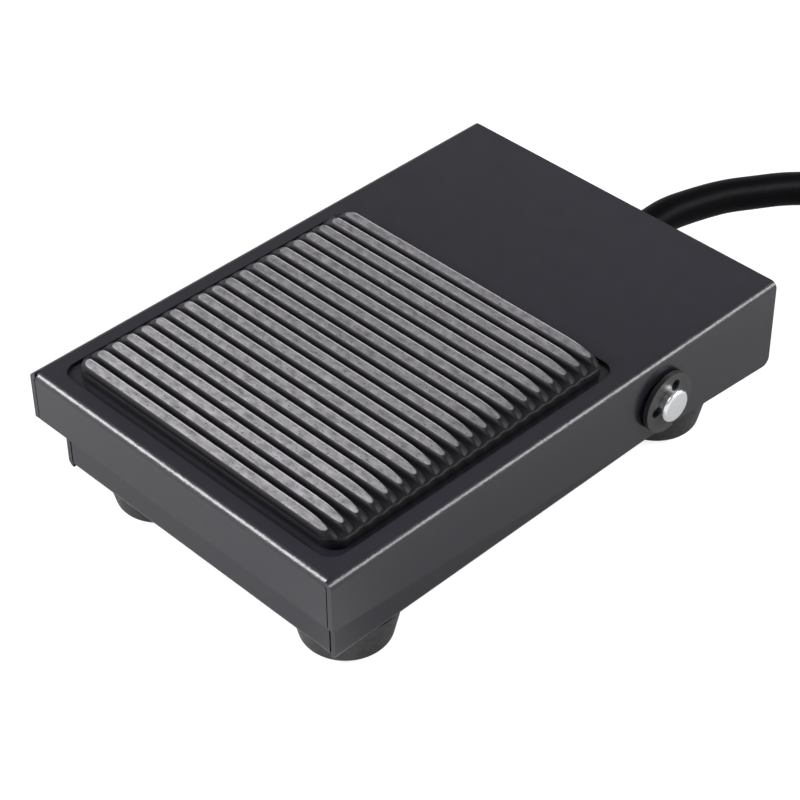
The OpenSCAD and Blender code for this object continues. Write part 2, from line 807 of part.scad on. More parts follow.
module common_terminal() {
    color("#c9b26b") {
        translate([blade_root_x, plunger_y - strip_w / 2, common_z])
            cube([switch_x1 + tab_l - blade_root_x, strip_w, strip_t]);
        translate([blade_root_x - strip_t / 2, plunger_y - strip_w / 2, common_z])
            cube([strip_t, strip_w, blade_z + blade_t / 2 - blade_bead_r - blade_gap - common_z]);
    }
}

// A fixed contact on its strip, entering at the left end; facing is 1 for a button on top
module fixed_contact(z, facing) {
    color("#c9b26b") {
        translate([switch_x0 - tab_l, plunger_y - strip_w / 2, z])
            cube([button_x + button_d / 2 - switch_x0 + tab_l, strip_w, strip_t]);
        translate([button_x, plunger_y, facing > 0 ? z + strip_t : z - button_h])
            cylinder(d = button_d, h = button_h);
    }
}

module open_terminal() {
    fixed_contact(open_z, 1);
}

module closed_terminal() {
    fixed_contact(closed_z, -1);
}

// Insulated push-on receptacles on the three tabs
receptacle_l = 7.6;
receptacle_w = 6.6;
receptacle_h = 2.8;
receptacle_off = 0.8;

module receptacle(x, z, way) {
    translate([x, plunger_y, z + strip_t / 2])
        mirror([way < 0 ? 1 : 0, 0, 0])
            difference() {
                translate([receptacle_off, -receptacle_w / 2, -receptacle_h / 2])
                    cube([receptacle_l, receptacle_w, receptacle_h]);
                translate([receptacle_off - over, -strip_w / 2 - strip_play, -strip_t / 2 - strip_play])
                    cube([tab_l - receptacle_off + strip_play + over,
                        strip_w + 2 * strip_play, strip_t + 2 * strip_play]);
            }
}

module receptacles() {
    color("#8c1f1f") {
        receptacle(switch_x1, common_z, 1);
        receptacle(switch_x0, open_z, -1);
        receptacle(switch_x0, closed_z, -1);
    }
}

// Inner cores: each leaves the jacket and enters its receptacle straight for one diameter. Between, it
// dives under the hinge pin and swings out halfway to the tray's side. The shares were chosen by hand:
// of the way out, of the way from the plunger back to the jacket, of the height at the jacket's end and
// of the height at the receptacle, both over the core's lowest level.
receptacle_end = receptacle_off + receptacle_l;
core_lift = 1.5;
core_ring_r = 1.55;
core_low_z = floor_z + core_d / 2 + core_lift;
tray_inner_x = tray_x - tray_t;
common_end = [switch_x1 + receptacle_end, plunger_y, common_z + strip_t / 2];
open_end = [switch_x0 - receptacle_end, plunger_y, open_z + strip_t / 2];
closed_end = [switch_x0 - receptacle_end, plunger_y, closed_z + strip_t / 2];
common_shares = [[0.17, 0.78, 0.33, 0], [0.41, 0.62, 0.08, 0], [0.71, 0.46, 0, 0],
    [0.93, 0.32, 0, 0], [1, 0.14, 0, 0.5]];
open_shares = [[0.13, 0.78, 0.36, 0], [0.34, 0.64, 0.05, 0], [0.65, 0.48, 0, 0.08],
    [0.91, 0.34, 0, 0.3], [1, 0.16, 0, 0.65]];
closed_shares = [[0.07, 0.84, 0.02, 0], [0.31, 0.8, 0, 0], [0.61, 0.62, 0, 0.12],
    [0.9, 0.48, 0, 0.38], [1, 0.26, 0, 0.72]];
core_steps = 3;
core_sides = 8;

// start_angle places the core in the jacket's end face
function core_route(start_angle, end, shares) =
    let (side = sign(end[0]), out_x = (end[0] + side * tray_inner_x) / 2,
        start = [core_ring_r * cos(start_angle), lead_y, exit_z + core_ring_r * sin(start_angle)],
        between = [for (s = shares) [
            s[0] * out_x, plunger_y + s[1] * (lead_y - plunger_y),
            core_low_z + s[2] * (start[2] - core_low_z) + s[3] * (end[2] - core_low_z)]])
    concat([start],
        smooth(concat([start - [0, core_d, 0]], between, [end + [side * core_d, 0, 0]]), core_steps), [end]);

module core_common() {
    color("#7a4a28") tube(core_route(30, common_end, common_shares), core_d, core_sides);
}

module core_open() {
    color("#2d5fa8") tube(core_route(150, open_end, open_shares), core_d, core_sides);
}

module core_closed() {
    color("#3b3b3b") tube(core_route(-90, closed_end, closed_shares), core_d, core_sides);
}

module strain_relief() {
    neck_y = tray_t + relief_lock_t;
    boot_l = relief_out - relief_flange_t;
    color("#1a1a1b")
    translate([0, tray_y, exit_z]) rotate([-90, 0, 0])
        difference() {
            rotate_extrude()
                polygon([[0, -tray_t - relief_in], [relief_neck_d / 2, -tray_t - relief_in],
                    [relief_neck_d / 2, -neck_y], [relief_lock_d / 2, -neck_y],
                    [relief_lock_d / 2, -tray_t], [relief_neck_d / 2, -tray_t], [relief_neck_d / 2, 0],
                    [relief_flange_d / 2, 0], [relief_flange_d / 2, relief_flange_t],
                    [relief_boot_d / 2, relief_flange_t], [relief_tail_d / 2, relief_out], [0, relief_out]]);
            translate([0, 0, -tray_t - relief_in - over])
                cylinder(r = cord_d / 2 + cord_play, h = tray_t + relief_in + relief_out + 2 * over);
            for (i = [1:relief_ribs])
                translate([0, 0, relief_flange_t + i * boot_l / (relief_ribs + 1) - relief_cut_w / 2])
                    difference() {
                        cylinder(d = relief_flange_d, h = relief_cut_w);
                        cylinder(d = relief_boot_d - 2 * relief_cut
                            - (relief_boot_d - relief_tail_d) * i / (relief_ribs + 1), h = relief_cut_w);
                    }
        }
}

module cord_lead() {
    color("#151516")
    translate([0, lead_y, exit_z]) rotate([-90, 0, 0]) cylinder(d = cord_d, h = exit_y - lead_y);
}

// A cable tie behind the relief, which stops the cord from being pulled out
module inner_tie() {
    color("#e8e6df")
    translate([0, tie_y, exit_z]) rotate([-90, 0, 0])
        difference() {
            union() {
                cylinder(r = cord_d / 2 + tie_t, h = tie_w);
                translate([-tie_head / 2, -cord_d / 2 - tie_head + tie_t, 0]) cube([tie_head, tie_head - tie_t, tie_w]);
            }
            translate([0, 0, -over]) cylinder(r = cord_d / 2 + cord_play, h = tie_w + 2 * over);
        }
}

// Middle of the cord in the coil, after a number of turns from the coil's start
function coil_layer(turns) = min(floor(turns / layer_turns), full_layers);
function coil_radius(turns) =
    let (layer = coil_layer(turns), part = turns - layer * layer_turns)
    layer % 2 == 0 ? coil_r - part * coil_pitch : coil_inner_r + part * coil_pitch;
function climb(turns, k) =
    let (s = min(max((turns - k * layer_turns) * 2 + 0.5, 0), 1)) s * s * (3 - 2 * s);
function coil_height(turns) =
    coil_z + coil_pitch * (climb(turns, 1) + climb(turns, 2) + climb(turns, 3));
function coil_point(turns) =
    let (angle = coil_start + 360 * turns)
    [coil_x + coil_radius(turns) * cos(angle), coil_y + coil_radius(turns) * sin(angle), coil_height(turns)];
function coil_way(turns) =
    let (angle = coil_start + 360 * turns) [-sin(angle), cos(angle), 0];

coil_steps = ceil(coil_turns * loop_rings);
coil_first = coil_point(0) - cord_d * coil_way(0);
coil_last = coil_point(coil_turns) + cord_d * coil_way(coil_turns);
coil_path = concat([coil_first],
    [for (i = [0:coil_steps]) coil_point(coil_turns * i / coil_steps)], [coil_last]);
least_gap = min([for (i = [0:len(coil_path) - 1], j = [i + loop_rings / 2:1:len(coil_path) - 1])
    norm(coil_path[i] - coil_path[j])]) - cord_d;
echo(least_gap_of_the_coil_to_itself = least_gap);

cord_sides = 12;
cord_steps = 2;

// The cord leaves the relief and meets the coil straight for one diameter
module cord() {
    leaving = [0, exit_y + cord_d, exit_z];
    arriving = coil_first - cord_d * coil_way(0);
    color("#151516")
        tube(concat([[0, exit_y, exit_z]], smooth(concat([leaving], cord_route, [arriving]), cord_steps),
            [coil_first]), cord_d, cord_sides);
}

module cord_coil() {
    color("#151516") tube(coil_path, cord_d, 6);
}

// A strap round the bundle of turns, where the coil changes no layer
module coil_tie() {
    before = (coil_tie_at - coil_start) / 360;
    inner_r = min(coil_radius(ceil(layer_turns - before) + before),
        coil_radius(ceil(layer_turns - before) - 1 + before)) - cord_d / 2 - 2 * tie_gap;
    outer_r = coil_radius(before) + cord_d / 2 + tie_gap;
    inner_h = coil_top_z + tie_gap - coil_tie_t;
    color("#101011")
    translate([coil_x, coil_y, 0]) rotate([0, 0, coil_tie_at])
        translate([(inner_r + outer_r) / 2, 0, 0])
            along_y(-coil_tie_w / 2, coil_tie_w / 2)
                difference() {
                    round_rect(outer_r - inner_r + 2 * coil_tie_t, inner_h + 2 * coil_tie_t,
                        coil_tie_r + coil_tie_t);
                    translate([0, coil_tie_t]) round_rect(outer_r - inner_r, inner_h, coil_tie_r);
                }
}

// One core of the bare far end, which settles on the layer below; side is -1, 0 or 1
tail_angle = coil_start + 360 * coil_turns;
tail_radius = coil_radius(coil_turns);
function tail_start(side) =
    coil_last + side * tail_offset * [cos(tail_angle), sin(tail_angle), 0]
        + [0, 0, side == 0 ? tail_offset : -tail_offset / 2];
function tail_point(side, s) =
    let (turn = tail_angle + atan(cord_d / tail_radius) + tail_sweep * s,
        r = norm([tail_radius, cord_d]) + side * (tail_offset + tail_fan * s) + tail_drift * s * s,
        high = tail_start(side)[2])
    [coil_x + r * cos(turn), coil_y + r * sin(turn),
        high + (tail_rest_z - high) * s * s * (3 - 2 * s)];
function tail_path(side) =
    concat([tail_start(side), tail_start(side) + core_d * coil_way(coil_turns)],
        [for (i = [2:tail_points - 1]) tail_point(side, i / (tail_points - 1))]);

module tail_cores() {
    for (side = [-1, 0, 1])
        color(["#7a4a28", "#3b3b3b", "#2d5fa8"][side + 1]) tube(tail_path(side), core_d, core_sides);
}

module core_tips() {
    color("#c9ccd1")
    for (side = [-1, 0, 1])
        let (path = tail_path(side), last = path[tail_points - 1], before = path[tail_points - 2])
        tube([last, last + tip_l * unit(last - before)], tip_d, core_sides);
}

pedal_cover();
tread_pad();
spring_stud();
base_tray();
foot(-foot_x, -foot_y);  // foot_front_left
foot(foot_x, -foot_y);  // foot_front_right
foot(-foot_x, foot_y);  // foot_rear_left
foot(foot_x, foot_y);  // foot_rear_right
foot_screws();
foot_nuts();
hinge_pin();
retaining_clips();
hinge_spacers();
spring_seat();
return_spring();
switch_bracket();
switch_screws();
switch_case();
switch_lid();
switch_plunger();
contact_blade();
common_terminal();
open_terminal();
closed_terminal();
receptacles();
core_common();
core_open();
core_closed();
strain_relief();
cord_lead();
inner_tie();
cord();
cord_coil();
coil_tie();
tail_cores();
core_tips();
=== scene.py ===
# %% [markdown]
# # A foot switch
# The real thing is a pedal folded from black sheet steel, hinged over a folded steel tray. A rubber
# tread lies in its deck, rubber feet stand under its tray and a cord runs out behind. The pieces of the
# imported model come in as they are. This lesson adds the camera, the light and the finishes, and makes the
# pieces that a plain solid can't show well: the softened sheets, the moulded tread, the cord and its cores,
# and the spring.

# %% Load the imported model
import bpy
import bmesh
import json
import math
from mathutils import Matrix, Vector


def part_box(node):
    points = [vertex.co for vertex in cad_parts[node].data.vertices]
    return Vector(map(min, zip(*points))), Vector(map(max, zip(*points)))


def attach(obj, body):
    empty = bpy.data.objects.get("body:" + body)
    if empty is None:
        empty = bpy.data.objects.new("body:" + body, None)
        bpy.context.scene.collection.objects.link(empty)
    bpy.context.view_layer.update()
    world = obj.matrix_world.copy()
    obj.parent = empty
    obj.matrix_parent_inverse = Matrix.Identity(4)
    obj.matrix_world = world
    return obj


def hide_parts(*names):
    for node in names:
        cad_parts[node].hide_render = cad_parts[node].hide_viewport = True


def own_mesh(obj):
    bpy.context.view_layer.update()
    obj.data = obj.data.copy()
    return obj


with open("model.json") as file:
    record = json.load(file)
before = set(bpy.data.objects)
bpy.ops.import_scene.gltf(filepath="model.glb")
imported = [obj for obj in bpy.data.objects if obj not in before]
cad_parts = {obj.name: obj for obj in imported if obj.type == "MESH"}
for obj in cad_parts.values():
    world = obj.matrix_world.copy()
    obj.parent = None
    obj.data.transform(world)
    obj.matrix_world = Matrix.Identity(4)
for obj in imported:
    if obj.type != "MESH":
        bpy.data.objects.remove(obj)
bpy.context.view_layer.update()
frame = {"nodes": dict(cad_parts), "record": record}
nodes = frame["nodes"]
print("pieces in the model:", len(nodes))

# %% [markdown]
# ## The camera
# The photo was taken from the right of the toe end, well above the pedal. Its place, its direction and
# the length of its lens were found by fitting the straight edges of the two sheets. A direction is easier
# to read as two angles: how far round the object the camera stands and how high over the floor.

# %% Camera
camera_place = Vector((0.22574, -0.22202, 0.27394))
camera_round = math.radians(45.839)
camera_high = math.radians(39.571)
camera_roll = math.radians(0.718)
lens_mm = 107.54
sensor_mm = 36

back = Vector((math.sin(camera_round) * math.cos(camera_high),
               -math.cos(camera_round) * math.cos(camera_high),
               math.sin(camera_high)))
level = (-back).cross(Vector((0, 0, 1))).normalized()
right = Matrix.Rotation(camera_roll, 3, -back) @ level
up = back.cross(right)
camera_data = bpy.data.cameras.new("photo_camera")
camera_data.lens = lens_mm
camera_data.sensor_width = sensor_mm
camera_data.clip_start = 0.01
camera = bpy.data.objects.new("photo_camera", camera_data)
turn = Matrix((right, up, back)).transposed().to_4x4()
camera.matrix_world = Matrix.Translation(camera_place) @ turn
bpy.context.scene.collection.objects.link(camera)
bpy.context.scene.camera = camera
print("camera right and up:", [round(x, 4) for x in right], [round(x, 4) for x in up])

# %% [markdown]
# ## The light
# The folds of the pedal carry one bright line along the toe end and one along the right side. A line on a
# fold shows where a lamp stands: a strip light on each side of the camera, a third of the way up and turned
# along the fold that it lights. The strips are narrow and bright, so the lines are thin and the black paint
# stays dark. A soft box high up fills the rest.

# %% Lamps
scene = bpy.context.scene
scene.view_settings.view_transform = "Standard"


def soft_box(name, towards, distance, along, length, width, watts):
    """A rectangular lamp that looks at the pedal from a direction, with its length along a given way."""
    data = bpy.data.lights.new(name, "AREA")
    data.shape = "RECTANGLE"
    data.size = length
    data.size_y = width
    data.energy = watts
    lamp = bpy.data.objects.new(name, data)
    out = Vector(towards).normalized()
    across = out.cross(Vector(along)).normalized()
    turned = Matrix((across.cross(out), across, out)).transposed().to_4x4()
    lamp.matrix_world = Matrix.Translation(out * distance) @ turned
    scene.collection.objects.link(lamp)
    print(name, watts, "W")


soft_box("left_strip", towards=(-0.553, -0.637, 0.537), distance=0.9, along=(1, 0, 0),
         length=0.5, width=0.36, watts=15)
soft_box("right_strip", towards=(0.637, 0.537, 0.553), distance=0.9, along=(0, 1, 0),
         length=0.55, width=0.34, watts=9)
soft_box("high_box", towards=(0.3, -0.75, 1.5), distance=1.0, along=(1, 0, 0),
         length=0.5, width=0.4, watts=1)

# %% [markdown]
# ## The room
# The room is white to the camera and to clear pieces. Gloss sees white walls too, but a dim ceiling, which is
# why the deck is darker than the sides. Only the light that the room sheds on the object is turned down. A
# Light Path node tells these rays apart, and the height that a ray looks up to tells wall from ceiling.

# %% Room
wall_top = 0.2
ceiling_from = 0.5
ceiling_strength = 0.32
fill_strength = 0.18
world = bpy.data.worlds.new("studio")
scene.world = world
world.use_nodes = True
tree = world.node_tree
tree.nodes.clear()
paths = tree.nodes.new("ShaderNodeLightPath")
seen_white = tree.nodes.new("ShaderNodeBackground")
seen_white.inputs["Strength"].default_value = 1
fill = tree.nodes.new("ShaderNodeBackground")
fill.inputs["Strength"].default_value = fill_strength
mix = tree.nodes.new("ShaderNodeMixShader")
world_out = tree.nodes.new("ShaderNodeOutputWorld")
either = tree.nodes.new("ShaderNodeMath")
either.operation = "MAXIMUM"
tree.links.new(paths.outputs["Is Camera Ray"], either.inputs[0])
tree.links.new(paths.outputs["Is Transmission Ray"], either.inputs[1])
way = tree.nodes.new("ShaderNodeTexCoord")
rise = tree.nodes.new("ShaderNodeSeparateXYZ")
ceiling = tree.nodes.new("ShaderNodeMapRange")
ceiling.inputs["From Min"].default_value = wall_top
ceiling.inputs["From Max"].default_value = ceiling_from
ceiling.inputs["To Min"].default_value = 1
ceiling.inputs["To Max"].default_value = ceiling_strength
room = tree.nodes.new("ShaderNodeBackground")
for light in (seen_white, fill, room):
    light.inputs["Color"].default_value = (1, 1, 1, 1)
gloss_mix = tree.nodes.new("ShaderNodeMixShader")
tree.links.new(way.outputs["Generated"], rise.inputs[0])
tree.links.new(rise.outputs["Z"], ceiling.inputs["Value"])
tree.links.new(ceiling.outputs[0], room.inputs["Strength"])
tree.links.new(paths.outputs["Is Glossy Ray"], gloss_mix.inputs[0])
tree.links.new(fill.outputs[0], gloss_mix.inputs[1])
tree.links.new(room.outputs[0], gloss_mix.inputs[2])
tree.links.new(either.outputs[0], mix.inputs[0])
tree.links.new(gloss_mix.outputs[0], mix.inputs[1])
tree.links.new(seen_white.outputs[0], mix.inputs[2])
tree.links.new(mix.outputs[0], world_out.inputs["Surface"])
print("room fill", fill_strength, "and ceiling", ceiling_strength)

# %% [markdown]
# ## The floor
# The object stands on white paper. For the camera the paper glows a little, so that it joins the white behind
# it, and the rest of its brightness comes from the lamps. That part is what a shadow takes away. Gloss sees
# the paper with hardly any glow, since the sides of the pedal mirror the strip of paper next to them: bright
# in front, where the strong lamp stands, and darker at the right, where the pedal shades it. The paper lies a
# hair under the feet, so that the two never fight for the same place.

# %% Floor
floor_half = 2.0
floor_z = -0.0001
floor_mesh = bpy.data.meshes.new("floor")
floor_mesh.from_pydata([(-floor_half, -floor_half, floor_z), (floor_half, -floor_half, floor_z),
                        (floor_half, floor_half, floor_z), (-floor_half, floor_half, floor_z)],
                       [], [(0, 1, 2, 3)])
floor = bpy.data.objects.new("floor", floor_mesh)
scene.collection.objects.link(floor)
paper = bpy.data.materials.new("white_paper")
paper.use_nodes = True
tree = paper.node_tree
tree.nodes.clear()
paths = tree.nodes.new("ShaderNodeLightPath")


def paper_side(glow_strength, paper_grey):
    """Paper with a glow of its own and a share of the lamps' light."""
    glow = tree.nodes.new("ShaderNodeEmission")
    glow.inputs["Strength"].default_value = glow_strength
    matt = tree.nodes.new("ShaderNodeBsdfDiffuse")
    matt.inputs["Color"].default_value = (paper_grey, paper_grey, paper_grey, 1)
    both = tree.nodes.new("ShaderNodeAddShader")
    tree.links.new(glow.outputs[0], both.inputs[0])
    tree.links.new(matt.outputs[0], both.inputs[1])
    return both.outputs[0]


def choose(ray, otherwise, chosen):
    """One shader for a kind of ray, another for the rest."""
    mix = tree.nodes.new("ShaderNodeMixShader")
    tree.links.new(paths.outputs[ray], mix.inputs[0])
    tree.links.new(otherwise, mix.inputs[1])
    tree.links.new(chosen, mix.inputs[2])
    return mix.outputs[0]


seen = paper_side(glow_strength=0.86, paper_grey=0.24)
mirrored = paper_side(glow_strength=0.05, paper_grey=0.54)
plain = paper_side(glow_strength=0, paper_grey=0.8)
surface = choose("Is Glossy Ray", plain, mirrored)
surface = choose("Is Transmission Ray", surface, seen)
surface = choose("Is Camera Ray", surface, seen)
out = tree.nodes.new("ShaderNodeOutputMaterial")
tree.links.new(surface, out.inputs["Surface"])
floor_mesh.materials.append(paper)
print("floor", 2 * floor_half, "m across")

# %% [markdown]
# ## How a finish is built
# Paint, rubber, plastic and plate differ in colour and gloss, but each has the same three faults that make
# it look real: a slow drift of its colour, a grain in its gloss and a grain in its relief. One helper lays
# these down from noise on the object's own coordinates, so that the grain is a real size in metres. What is
# the same all over a surface is set on the shader's own socket.


# %% Finish helper
def new_material(name):
    """An empty material with its shader, its output and the object's coordinates."""
    material = bpy.data.materials.new(name)
    material.use_nodes = True
    tree = material.node_tree
    tree.nodes.clear()
    shader = tree.nodes.new("ShaderNodeBsdfPrincipled")
    result = tree.nodes.new("ShaderNodeOutputMaterial")
    place = tree.nodes.new("ShaderNodeTexCoord")
    tree.links.new(shader.outputs[0], result.inputs["Surface"])
    return material, tree, shader, place.outputs["Object"]


def noise(tree, place, size, detail=2.0, stretch=(1, 1, 1)):
    """Noise whose grain is about size metres across."""
    mapping = tree.nodes.new("ShaderNodeMapping")
    mapping.inputs["Scale"].default_value = stretch
    tree.links.new(place, mapping.inputs["Vector"])
    texture = tree.nodes.new("ShaderNodeTexNoise")
    texture.inputs["Scale"].default_value = 0.5 / size
    texture.inputs["Detail"].default_value = detail
    tree.links.new(mapping.outputs["Vector"], texture.inputs["Vector"])
    return texture.outputs["Fac"]


def spread(tree, value, low, high, start=0.3, end=0.7):
    """Maps a noise value, which lies mostly between start and end, to a range."""
    node = tree.nodes.new("ShaderNodeMapRange")
    node.inputs["From Min"].default_value = start
    node.inputs["From Max"].default_value = end
    node.inputs["To Min"].default_value = low
    node.inputs["To Max"].default_value = high
    tree.links.new(value, node.inputs["Value"])
    return node.outputs["Result"]


def maths(tree, operation, *values):
    """A maths node. Each value is a number or the result of another node."""
    node = tree.nodes.new("ShaderNodeMath")
    node.operation = operation
    for socket, value in zip(node.inputs, values):
        if isinstance(value, (int, float)):
            socket.default_value = value
        else:
            tree.links.new(value, socket)
    return node.outputs[0]


def two_colours(tree, amount, first, second):
    """One colour where amount is 0, the other where it is 1. Each is three numbers or a node's result."""
    node = tree.nodes.new("ShaderNodeMix")
    node.data_type = "RGBA"
    for socket, colour in (("A", first), ("B", second)):
        if isinstance(colour, tuple):
            node.inputs[socket].default_value = (*colour, 1)
        else:
            tree.links.new(colour, node.inputs[socket])
    tree.links.new(amount, node.inputs["Factor"])
    return node.outputs["Result"]


def relief(tree, height, shader, depth):
    """Bumps of depth metres where height goes from 0 to 1."""
    node = tree.nodes.new("ShaderNodeBump")
    node.inputs["Distance"].default_value = depth
    node.inputs["Strength"].default_value = 1.0
    tree.links.new(height, node.inputs["Height"])
    tree.links.new(node.outputs["Normal"], shader.inputs["Normal"])


def finish_of(name, dark, light, gloss, grain, depth, metal=0.0, drift=0.02, stretch=(1, 1, 1)):
    """A finish with a drifting colour, a grain in its gloss and the same grain in its relief."""
    material, tree, shader, place = new_material(name)
    drifting = spread(tree, noise(tree, place, drift), 0, 1)
    tree.links.new(two_colours(tree, drifting, dark, light), shader.inputs["Base Color"])
    fine = noise(tree, place, grain, 3.0, stretch)
    tree.links.new(spread(tree, fine, *gloss), shader.inputs["Roughness"])
    relief(tree, fine, shader, depth)
    shader.inputs["Metallic"].default_value = metal
    return material


print("finish helpers ready")

# %% [markdown]
# ## Satin black paint
# Both sheets are painted satin black with a trace of blue. On the flat faces the coat is smooth. Where the
# sheet is bent the coat has crept and stands in a fine pebble, which breaks the bright line on a fold into
# grains and makes it wider. So the paint reads an attribute of the sheet that is 1 on its folds and 0 on its
# flats. The tray's coat is a little duller than the pedal's.

# %% Paint
paint_dark = (0.0085, 0.0082, 0.0125)
paint_light = (0.011, 0.0105, 0.0155)
paint_drift = 0.03
gloss_grain = 0.002
flat_roughness = (0.21, 0.27)
pebble_grain = 0.00032
pebble_depth = 0.000002
fold_relief = 26.0
fold_dullness = 0.1


def black_paint(name, shine):
    """Satin black paint. Its pebble is strong where the piece's own fold attribute is 1."""
    material, tree, shader, place = new_material(name)
    drifting = spread(tree, noise(tree, place, paint_drift), 0, 1)
    tree.links.new(two_colours(tree, drifting, paint_dark, paint_light), shader.inputs["Base Color"])
    fold = tree.nodes.new("ShaderNodeAttribute")
    fold.attribute_name = "fold"
    bent = fold.outputs["Fac"]
    flat_dullness = spread(tree, noise(tree, place, gloss_grain, 3.0), *flat_roughness)
    dullness = maths(tree, "MULTIPLY_ADD", bent, fold_dullness, flat_dullness)
    tree.links.new(dullness, shader.inputs["Roughness"])
    strength = maths(tree, "MULTIPLY_ADD", bent, fold_relief, 1.0)
    pebble = maths(tree, "MULTIPLY", noise(tree, place, pebble_grain), strength)
    relief(tree, pebble, shader, pebble_depth)
    shader.inputs["Specular IOR Level"].default_value = shine
    return material


paint = black_paint("satin_black_paint", 0.5)
tray_paint = black_paint("satin_black_paint_of_tray", 0.4)
print("paint ready")

# %% [markdown]
# ## The folded sheets
# Paint draws back from a sharp edge and leaves it a little round, so every edge of the two sheets catches a
# thin line of light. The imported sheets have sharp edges. A copy of each is merged, its flat faces are joined
# up, and a Bevel rounds what is left of its sharp edges. A Weighted Normal then keeps the large faces flat.

# %% Softened copies of the sheets
edge_round = 0.00016
merge_gap = 0.000001
flat_angle = math.radians(0.5)
sharp_angle = math.radians(38)
flat_facing = 0.995


def plain_mesh(piece):
    """Replaces a piece's mesh by what its modifiers make of it, and takes them off."""
    bpy.context.view_layer.update()
    shown = piece.evaluated_get(bpy.context.evaluated_depsgraph_get())
    mesh = bpy.data.meshes.new_from_object(shown)
    piece.modifiers.clear()
    piece.data = mesh
    return mesh


def softened(node, name):
    """A copy of a packed sheet with its sharp edges rounded and its folds marked."""
    work = bmesh.new()
    work.from_mesh(nodes[node].data)
    bmesh.ops.remove_doubles(work, verts=work.verts, dist=merge_gap)
    bmesh.ops.dissolve_limit(work, angle_limit=flat_angle, verts=work.verts, edges=work.edges)
    mesh = bpy.data.meshes.new(name)
    work.to_mesh(mesh)
    work.free()
    mesh.shade_smooth()
    piece = bpy.data.objects.new(name, mesh)
    scene.collection.objects.link(piece)
    bevel = piece.modifiers.new("edges", "BEVEL")
    bevel.width = edge_round
    bevel.segments = 3
    bevel.limit_method = "ANGLE"
    bevel.angle_limit = sharp_angle
    piece.modifiers.new("flats", "WEIGHTED_NORMAL")
    plain_mesh(piece)
    fold = piece.data.attributes.new("fold", "FLOAT", "CORNER")
    for face in piece.data.polygons:
        bent = max(abs(part) for part in face.normal) < flat_facing
        for corner in face.loop_indices:
            fold.data[corner].value = 1.0 if bent else 0.0
    print(name, "faces:", len(piece.data.polygons))
    return piece


sheet_pieces = {"pedal_cover": ("pedal_sheet", "pedal", paint),
                "base_tray": ("tray_sheet", "base", tray_paint)}
for node, (name, body, coat) in sheet_pieces.items():
    sheet = softened(node, name)
    sheet.data.materials.append(coat)
    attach(sheet, body)
    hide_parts(node)

# %% [markdown]
# ## Tubes
# A cord, a core and a spring are all a round section carried along a path. The helper turns a list of points
# into such a tube: at each point it sets a ring square to the path, and carries the ring's direction on from
# the ring before, so that the skin never twists. Both ends are closed.


# %% Tube helper
def tube_mesh(name, points, radius, sides):
    """A closed tube along points, with a UV map that runs once round and counts metres along."""
    mesh = bpy.data.meshes.new(name)
    work = bmesh.new()
    uv = work.loops.layers.uv.new("along")
    rings = []
    lengths = []
    length = 0.0
    side = None
    for i, point in enumerate(points):
        before = points[max(i - 1, 0)]
        after = points[min(i + 1, len(points) - 1)]
        way = (after - before).normalized()
        if side is None:
            side = way.orthogonal().normalized()
        side = (side - way * side.dot(way)).normalized()
        other = way.cross(side)
        if i:
            length += (point - before).length
        lengths.append(length)
        rings.append([work.verts.new(point + radius * (math.cos(a) * side + math.sin(a) * other))
                      for a in [2 * math.pi * k / sides for k in range(sides)]])
    for i in range(len(rings) - 1):
        for k in range(sides):
            after = (k + 1) % sides
            face = work.faces.new((rings[i][k], rings[i][after], rings[i + 1][after], rings[i + 1][k]))
            face.smooth = True
            corners = ((k, i), (k + 1, i), (k + 1, i + 1), (k, i + 1))
            for loop, (around, along) in zip(face.loops, corners):
                loop[uv].uv = (around / sides, lengths[along])
    work.faces.new(list(reversed(rings[0])))
    work.faces.new(rings[-1])
    bmesh.ops.recalc_face_normals(work, faces=work.faces)
    work.to_mesh(mesh)
    work.free()
    piece = bpy.data.objects.new(name, mesh)
    scene.collection.objects.link(piece)
    return piece, length


def curve_point(a, b, c, d, s):
    """A point between b and c on a smooth curve through four points."""
    square = (2 * a - 5 * b + 4 * c - d) * s * s
    cube = (3 * b - a - 3 * c + d) * s ** 3
    return 0.5 * (2 * b + (c - a) * s + square + cube)


def smooth_path(points, steps):
    """The smooth curve through points, with steps between each pair."""
    first = 2 * points[0] - points[1]
    last = 2 * points[-1] - points[-2]
    around = [first] + list(points) + [last]
    path = []
    for i in range(len(points) - 1):
        path += [curve_point(*around[i:i + 4], k / steps) for k in range(steps)]
    return path + [points[-1]]


def metres(points):
    """Points given in millimetres, as vectors in metres."""
    return [Vector(p) / 1000 for p in points]


print("tube helpers ready")

# %% [markdown]
# ## The cord
# The jacket leaves the relief level, sinks to the floor in one slow bend to the right and runs into a coil of
# nearly seven turns, just outside the picture. The coil is wound in and out in four layers: the radius goes
# down and up again by one cord and a gap per turn, and the cord climbs a layer while it turns back. The same
# points and rules as in the solid model are repeated here, because the cord has to lie where its solid does.

# %% Cord route
cord_d = 6.4
cord_route = [(0, 60.2, 17.6), (0, 66.6, 17.6), (0.8, 72.5, 17.1), (2.4, 80, 16.2), (4.6, 86.5, 15.1),
              (7.3, 94, 13.6), (10.8, 101, 11.6), (15.4, 106.2, 9), (20.2, 109, 6.5)]
coil_x, coil_y = 28, 151
coil_start = -75
coil_r = 38.4
layer_turns = 1.85
top_turns = 1.2
full_layers = 3
coil_gap = 0.5
strap_t = 0.9
strap_gap = 0.2
turn_steps = 72
route_steps = 8
cord_sides = 20
coil_pitch = cord_d + coil_gap
coil_z = strap_t + strap_gap + cord_d / 2
coil_inner_r = coil_r - layer_turns * coil_pitch
coil_turns = full_layers * layer_turns + top_turns


def coil_radius(turns):
    """Distance from the coil's middle after a number of turns."""
    layer = min(math.floor(turns / layer_turns), full_layers)
    part = turns - layer * layer_turns
    return coil_r - part * coil_pitch if layer % 2 == 0 else coil_inner_r + part * coil_pitch


